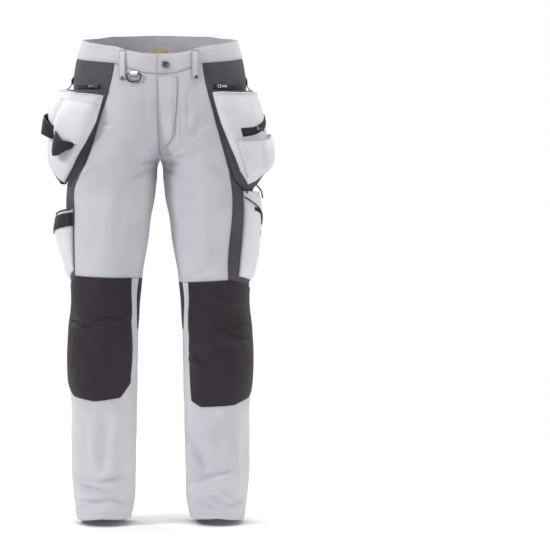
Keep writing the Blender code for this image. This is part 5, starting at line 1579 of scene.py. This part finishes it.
@dataclass
class Trims:
    """Straps, tabs, zips, labels and metal pieces of the whole garment."""

    holsters: dict[Side, Holster]
    thigh: ThighPockets
    # Both edges of each hip strap, from the buckle's foot to the back of the holster.
    straps: dict[Side, tuple[tuple[float, ...], ...]] = field(default_factory=lambda: {
        Side.RIGHT: ((-170.5, 62.7, -51.2, -163.1, 72.2, -51.2),
                     (-178.5, 53.4, -59.1, -171.7, 63.3, -59.1),
                     (-183.9, 42.0, -67.3, -178.6, 52.7, -67.3),
                     (-188.3, 30.5, -75.7, -185.4, 42.1, -75.7),
                     (-193.2, 19.7, -84.1, -192.6, 31.7, -84.1),
                     (-198.8, 9.3, -92.3, -200.0, 21.3, -92.3),
                     (-204.9, -1.0, -100.5, -206.8, 10.9, -100.5),
                     (-211.1, -2.1, -120.1, -213.0, 9.7, -120.1)),
        Side.LEFT: ((162.9, 72.0, -51.3, 170.2, 62.5, -51.3),
                    (171.3, 63.4, -59.4, 178.1, 53.5, -59.4),
                    (178.7, 53.3, -67.6, 184.1, 42.6, -67.6),
                    (185.0, 42.4, -76.2, 188.3, 30.8, -76.2),
                    (189.7, 31.4, -85.5, 190.7, 19.5, -85.5),
                    (196.3, 21.0, -94.1, 195.6, 9.0, -94.1),
                    (202.4, 10.6, -102.7, 201.2, -1.4, -102.7),
                    (210.3, 9.5, -122.2, 209.1, -2.5, -122.2)),
    })
    rivet_lift: float = 3.6
    button_at: tuple[float, float, float] = (11.97, -122.29, -42.71)
    button_out: tuple[float, float, float] = (0.0, -0.995, 0.1)
    button_sunk: float = 1.2
    zip_height: float = -90.0
    zip_width: float = 11.0
    label_at: tuple[float, float, float] = (-189.5, 49.2, -194.75)
    label_axes: tuple[tuple[float, float, float], ...] = (
        (0.552, 0.834, 0), (-0.085, 0.056, -0.995), (-0.829, 0.55, 0.102))
    label_size: tuple[float, float] = (9.0, 26.0)
    ring_at: tuple[float, float, float] = (-56.27, -123.55, -62.89)
    ring_along: tuple[float, float, float] = (0.988, -0.155, 0.0)

    def build(self) -> None:
        """Make every trim."""
        for side in Side:
            self.build_strap(side)
            self.build_hand_zip(side)
            self.build_hip_loop(side)
            self.build_slit(side)
        self.build_ring_tab()
        self.build_holster_zip()
        self.build_labels()
        self.build_metal()
        self.build_mouths()

    def build_strap(self, side: Side) -> None:
        """The webbing strap between a hip buckle and its holster."""
        rows = table(list(self.straps[side]))
        rows = np.column_stack([np.arange(len(rows), dtype=float), rows])
        fine = np.linspace(0, len(rows) - 1, 40)
        edges = np.stack([curve_through(fine, rows, k) for k in range(1, 7)], axis=-1)
        points = lerp(edges[:, None, :3], edges[:, None, 3:], stations(5)[None, :, None])
        towards = np.broadcast_to(np.array([side.value, -0.3, 0.3]), points.shape)
        outer = Sheet(points, towards).renewed()
        piece_of(f"holster_strap_{side.label}", outer, 2.0, WEBBING, 0.4)

    def build_hand_zip(self, side: Side) -> None:
        """The zip round the hip: a lipped tape with its teeth, up to the slider."""
        rows, cols = 8, 40
        v, u = grid(rows, cols)
        z = self.zip_height + (0.5 - v) * self.zip_width - 2 * dome(u)
        first, last = (127.0, 184.0) if side is Side.RIGHT else (115.0, 180.0)
        sheet = CLOTHS[side].across_at(Face.FRONT, lerp(first, last, u), z)
        lips = 0.9 * zip_lips(v)
        outer = sheet.raised(0.25 + lips * 0.8)
        cloth_wall(f"zip_tape_hand_{side.label}", outer, 0.6, Held("anthracite", "dark_cordura"),
                   soft_edge=0.2)
        zip_teeth(f"zip_teeth_hand_{side.label}", outer, 0.1, 0.98, 200)

    def build_hip_loop(self, side: Side) -> None:
        """The thin black loop beside the hip buckle, from the band's top."""
        under = rectangle(Face.BACK, side.value * 133, 7, 14, -40, 0, 2.4)
        down, _ = under.spread()
        outer = under.raised(3.6 + 2.6 * dome(down) ** 0.6)
        cloth_wall(f"hip_loop_{side.label}", outer, 1.4, Held("black_webbing", "webbing"),
                   soft_edge=0.3)

    def build_slit(self, side: Side) -> None:
        """The slanting slit of the calf: two light edges, with a grey cord between them as painted shade
        in the slit.
        """
        ends = ((124, -657), (178, -740)) if side is Side.LEFT else ((121, -664), (181, -738))
        share = np.linspace(0, 1, 60)
        x, z = (lerp(ends[0][k], ends[1][k], share) for k in (0, 1))
        for k, move in (("upper", -2.2), ("lower", 2.2)):
            line = CLOTHS[side].across_at(Face.BACK, x + move, z + move * 0.6).raised(0.15)
            piping(f"slit_edge_{k}_{side.label}", line, 1.25)
        # A grey cord in the white cloth's slot: painted shade inside the slit.
        line = CLOTHS[side].across_at(Face.BACK, x, z).raised(0.05)
        piping(f"slit_groove_{side.label}", line, 0.8, ("grey_thread", "white_cloth"))

    def build_ring_tab(self) -> None:
        """The white tab that folds round the ring's top bar and runs back into the seam."""
        origin, x = table([self.ring_at])[0], table([self.ring_along])[0]
        inward, up = np.array([-x[1], x[0], 0.0]), np.array([0.0, 0.0, 1.0])
        turn = np.radians(np.linspace(-58, 90, 22))
        bend = np.column_stack([-3.5 * np.cos(turn), 3.5 * np.sin(turn)])
        bend[turn > 1.45, 0] = 0.0
        path = np.concatenate([[[4.6, -1.9], [1.2, -3.4]], bend[1:], [[2.2, 4.4], [4.4, 5.8]]])
        direction = unit(np.gradient(path, axis=0))
        out = np.column_stack([-direction[:, 1], direction[:, 0]])
        u = stations(6)[None, :, None] - 0.5
        points = (origin + u * 17.0 * x + path[:, None, :1] * inward + path[:, None, 1:] * up)
        normals = np.broadcast_to(out[:, None, :1] * inward + out[:, None, 1:] * up, points.shape)
        cloth_wall("cloth_ring_tab", Sheet(points, unit(normals)), 1.0,
                   Held("bright_twill", "white_cloth", ("ring_tab",)),
                   cut=False, soft_edge=0.2)

    def build_holster_zip(self) -> None:
        """The slanting zip of the left holster's bag: lipped tape and teeth."""
        holster = self.holsters[Side.LEFT]
        line = [(0.2, -190), (0.45, -186), (0.75, -172), (1, -158)]
        top, foot = (holster.face.line_at(*((x, z + half) for x, z in line)) for half in (8, -8))
        band = holster.face.window(top, foot, 0.22, 0.985, 2.2)
        down, _ = band.spread()
        outer = band.raised(LAY + 1.0 + 1.1 * zip_lips(np.clip(down, 0, 1)))
        piece_of("holster_zip_left", outer, 1.2, ("black_knit", "dark_cordura"),
                 0.3)
        zip_teeth("zip_teeth_holster_left", outer, 0.05, 0.97, 160)

    def build_labels(self) -> None:
        """The plain side label at the right seat pocket, and the one inside the waistband."""
        v, u = grid(12, 5)
        across, down, out = (np.array(row) for row in self.label_axes)
        wide, high = self.label_size
        curl = 0.6 + 1.6 * (u[..., None] - 0.3) ** 2 * out
        points = (np.array(self.label_at) + (u[..., None] - 0.5) * wide * across
                  + (v[..., None] - 0.5) * high * down + curl * out)
        label = Sheet(points, np.broadcast_to(out, points.shape)).renewed()
        piece_of("side_label", label, 1.0, LABEL, 0.2)
        inside = rectangle(Face.BACK, 2, 29, -9, -36, 0, 2.4)
        lined = Sheet(inside.points, -inside.normals).raised(3.2)
        cloth_wall("waist_label", lined, 0.6, Held(*LABEL), soft_edge=0.2)

    def build_metal(self) -> None:
        """The jeans button and the rivets."""
        out = np.array(self.button_out)
        Turned("turned_button", BUTTON, "nickel", "button_metal", ("button",)).build(
            np.array(self.button_at) - out * self.button_sunk, out)
        for name, x, z in (("rivet_loop_right", -80.5, -71.5), ("rivet_loop_left", 77.5, -69.5)):
            spot = body_patch(Face.FRONT, np.array(x), np.array(z))
            Turned(name, RIVET, "dark_metal", "metal").build(
                spot.points + spot.normals * self.rivet_lift, spot.normals)
        face = self.thigh.cargo_face
        for name, down, across in (("rivet_flap_front", 0.035, 0.06), ("rivet_flap_back", 0.07, 0.9)):
            spot = face.at(down, across)
            Turned(name, RIVET, "nickel", "metal").build(spot.points + spot.normals * 2.6, spot.normals)

    def build_mouths(self) -> None:
        """Dark binding along the cargo flap, a black sheet under it as painted shade in the pocket's
        opening, and the mouths' lips.
        """
        cargo, ruler = self.thigh.cargo_face, self.thigh.ruler_face
        share = np.linspace(0.02, 0.62, 60)
        edge = cargo.at(marks((0, 0.07), (0.45, 0.36), (0.62, 0.40))(share), share).raised(2.6)
        piping("cargo_flap_binding", edge, 1.3, ("black_cord", "dark_cordura"))
        # A black sheet just under the flap's edge: painted shade in the pocket's opening.
        mouth = cargo.window(marks((0, 0.17), (1, 0.33)), marks((0, 0.2), (0.5, 0.31), (1, 0.34)),
                             0.14, 0.4, 2.4)
        cloth_wall("cargo_mouth", mouth.raised(0.9), 0.8, Held("black_knit", "dark_cordura"),
                   soft_edge=0.3)
        tab = cargo.window(0.42, 0.5, 0.34, 0.5, 2.2)
        cloth_wall("cargo_tab", tab.raised(1.3), 1.0, Held("olive_tab", "label_cloth"),
                   soft_edge=0.2)
        lip = line_along(ruler, Edge.TOP, 2.0, 0.03, 0.97, 0.4)
        piping("ruler_pocket_lip", lip, 1.7, ("black_cord", "webbing"))
        for side, holster in self.holsters.items():
            rim = line_along(holster.face, Edge.TOP, 1.0, 0.02, 0.98, 0.1)
            piping(f"holster_rim_{side.label}", rim, 1.3)


@dataclass
class Sewing:
    """All the visible stitching and piping, by thread."""

    body: BodyCloth
    waist: Waist
    holsters: dict[Side, Holster]
    thigh: ThighPockets
    pockets: dict[Side, SeatPocket]
    # The white cloth's stitches take the dark grey finish: painted shade along the sunk stitch lines.
    white: Stitching = field(default_factory=lambda: Stitching("stitches_white", "pale_thread",
                                                               "white_cloth"))
    grey: Stitching = field(default_factory=lambda: Stitching("stitches_grey", "grey_thread",
                                                              "dark_cordura"))

    def build(self) -> None:
        """Lay every row, then make one piece for each thread."""
        for side in Side:
            self.leg(side)
            self.holster(side)
            self.seat(side)
        self.top()
        self.pockets_on_thighs()
        self.white.build()
        self.grey.build()

    def leg(self, side: Side) -> None:
        """The long seams, the knee, the hems and the heel guard of one leg."""
        sheets, label = self.body.sheets, side.label
        thigh, shin = sheets[f"front_thigh_{label}"], sheets[f"front_shin_{label}"]
        back, calf = sheets[f"back_thigh_{label}"], sheets[f"back_calf_{label}"]
        self.white.edges(thigh, (1.8, 8.0), Edge.LAST)
        self.white.edges(thigh, (3.0, 9.5), Edge.FOOT)
        self.white.edges(thigh, (2.0,), Edge.FIRST, start=0.03, end=0.4)
        self.white.edges(back, (1.8, 7.5), Edge.LAST, start=0.0, end=0.47)
        self.white.edges(back, (2.0,), Edge.FIRST)
        self.white.edges(back, (3.0,), Edge.FOOT)
        self.white.edges(shin, (17.0,), Edge.FOOT)
        self.white.edges(shin, (2.0,), Edge.LAST, start=0.42)
        self.white.edges(calf, (2.5,), Edge.TOP, Edge.FOOT)
        guard, panel = sheets[f"heel_guard_{label}"], sheets[f"side_panel_{label}"]
        self.grey.edges(guard, (18.0,), Edge.FOOT)
        self.grey.edges(guard, (2.0,), Edge.TOP)
        self.grey.edges(panel, (2.5,), Edge.FIRST, start=0.02)
        self.grey.edges(panel, (2.2,), Edge.LAST)
        line = line_along(panel, Edge.LAST, 1.2, 0.5, 1.0)
        piping(f"side_piping_{label}", line, 0.9)

    def seat(self, side: Side) -> None:
        """The yoke lines and the seat pocket of one side."""
        share = np.linspace(0, 1, 60)
        for move in (0.0, 5.5):
            line = body_patch(Face.BACK, side.value * lerp(10.0, 78.0, share),
                              lerp(-60.0 + move, -18.0 + move, share))
            self.white.run(line)
        pocket = self.pockets[side]
        self.white.edges(pocket.bag, (2.5, 8.5), Edge.FIRST, Edge.LAST, Edge.FOOT)
        self.grey.edges(pocket.band, (3.0, 6.0), Edge.FOOT)
        self.grey.edges(pocket.band, (3.0,), Edge.LAST, Edge.FIRST)
        for edge in (Edge.TOP, Edge.FOOT):
            piping(f"pocket_piping_{edge.value}_{side.label}", line_along(pocket.band, edge, 0.6), 0.8)

    def top(self) -> None:
        """The waistband, the fly and the belt loops."""
        self.white.edges(self.waist.band, (3.0,), Edge.TOP, Edge.FOOT)
        self.white.edges(self.waist.band, (8.0,), Edge.FOOT)
        self.white.edges(self.waist.fly, (2.5, 8.5), Edge.LAST)
        self.white.edges(self.waist.fly, (2.0,), Edge.FIRST)
        for loop in self.waist.loops:
            self.white.edges(loop, (2.4,), Edge.FIRST, Edge.LAST, start=0.04, end=0.96)
            for inset in (2.0, 3.0, 4.0):
                self.white.run(line_along(loop, Edge.TOP, inset, 0.12, 0.88), 1.5)
                self.white.run(line_along(loop, Edge.FOOT, inset, 0.12, 0.88), 1.5)

    def holster(self, side: Side) -> None:
        """The holster's bag and backing."""
        holster = self.holsters[side]
        self.white.edges(holster.face, (3.0, 11.0), Edge.TOP)
        self.white.edges(holster.face, (3.0,), Edge.FIRST, Edge.LAST, Edge.FOOT)
        self.grey.edges(holster.backing, (2.2,), Edge.FIRST, Edge.LAST)
        for pocket in holster.pockets:
            self.white.edges(pocket, (2.4, 7.5), Edge.TOP)
            self.white.edges(pocket, (2.4,), Edge.FIRST, Edge.LAST, Edge.FOOT)
        for strap in holster.loops:
            self.grey.edges(strap, (1.8,), Edge.TOP, Edge.FOOT)
        line = line_along(holster.face, Edge.FIRST, 0.5, 0.0, 0.99, -1.0)
        piping(f"holster_piping_{side.label}", line, 1.0)

    def pockets_on_thighs(self) -> None:
        """The cargo pocket with its flap and the ruler pocket with its strap."""
        thigh = self.thigh
        self.white.edges(thigh.flap, (2.4, 7.5), Edge.FIRST, Edge.LAST, Edge.FOOT)
        self.white.edges(thigh.flap, (2.4,), Edge.TOP)
        self.white.edges(thigh.cargo_face, (2.4, 8.0), Edge.FIRST, Edge.LAST, Edge.FOOT, start=0.2)
        self.white.edges(thigh.ruler_face, (2.4,), Edge.FIRST, Edge.LAST, Edge.FOOT, start=0.1)
        self.white.run(thigh.ruler_face.at(np.linspace(0.32, 0.97, 90), 0.5).raised(0.1))
        self.grey.edges(thigh.strap, (2.0,), Edge.TOP, Edge.FOOT)
        for across in (0.08, 0.36, 0.92):
            self.grey.run(thigh.strap.at(np.linspace(0.06, 0.94, 40), across), 3.0)


def write_sizes() -> None:
    """Define a helper that gives a box's two corners as plain lists; nothing is kept."""

    def corners(box: object) -> list[list[float]]:
        """The two corners of a box as plain lists."""
        return [[float(number) for number in corner] for corner in box]


def main() -> None:
    """Build the stage and every piece in order."""
    logging.basicConfig(level=logging.INFO, format="%(name)s: %(message)s")
    Stage().build()
    Cords().build()
    body = BodyCloth()
    body.build()
    waist = Waist()
    waist.build()
    holsters = {side: Holster(side) for side in Side}
    for holster in holsters.values():
        holster.build()
    pockets = {side: SeatPocket(side) for side in Side}
    for pocket in pockets.values():
        pocket.build()
    thigh = ThighPockets()
    thigh.build()
    Trims(holsters, thigh).build()
    Sewing(body, waist, holsters, thigh, pockets).build()
    dress_kept()
    write_sizes()


if __name__ == "__main__":
    main()
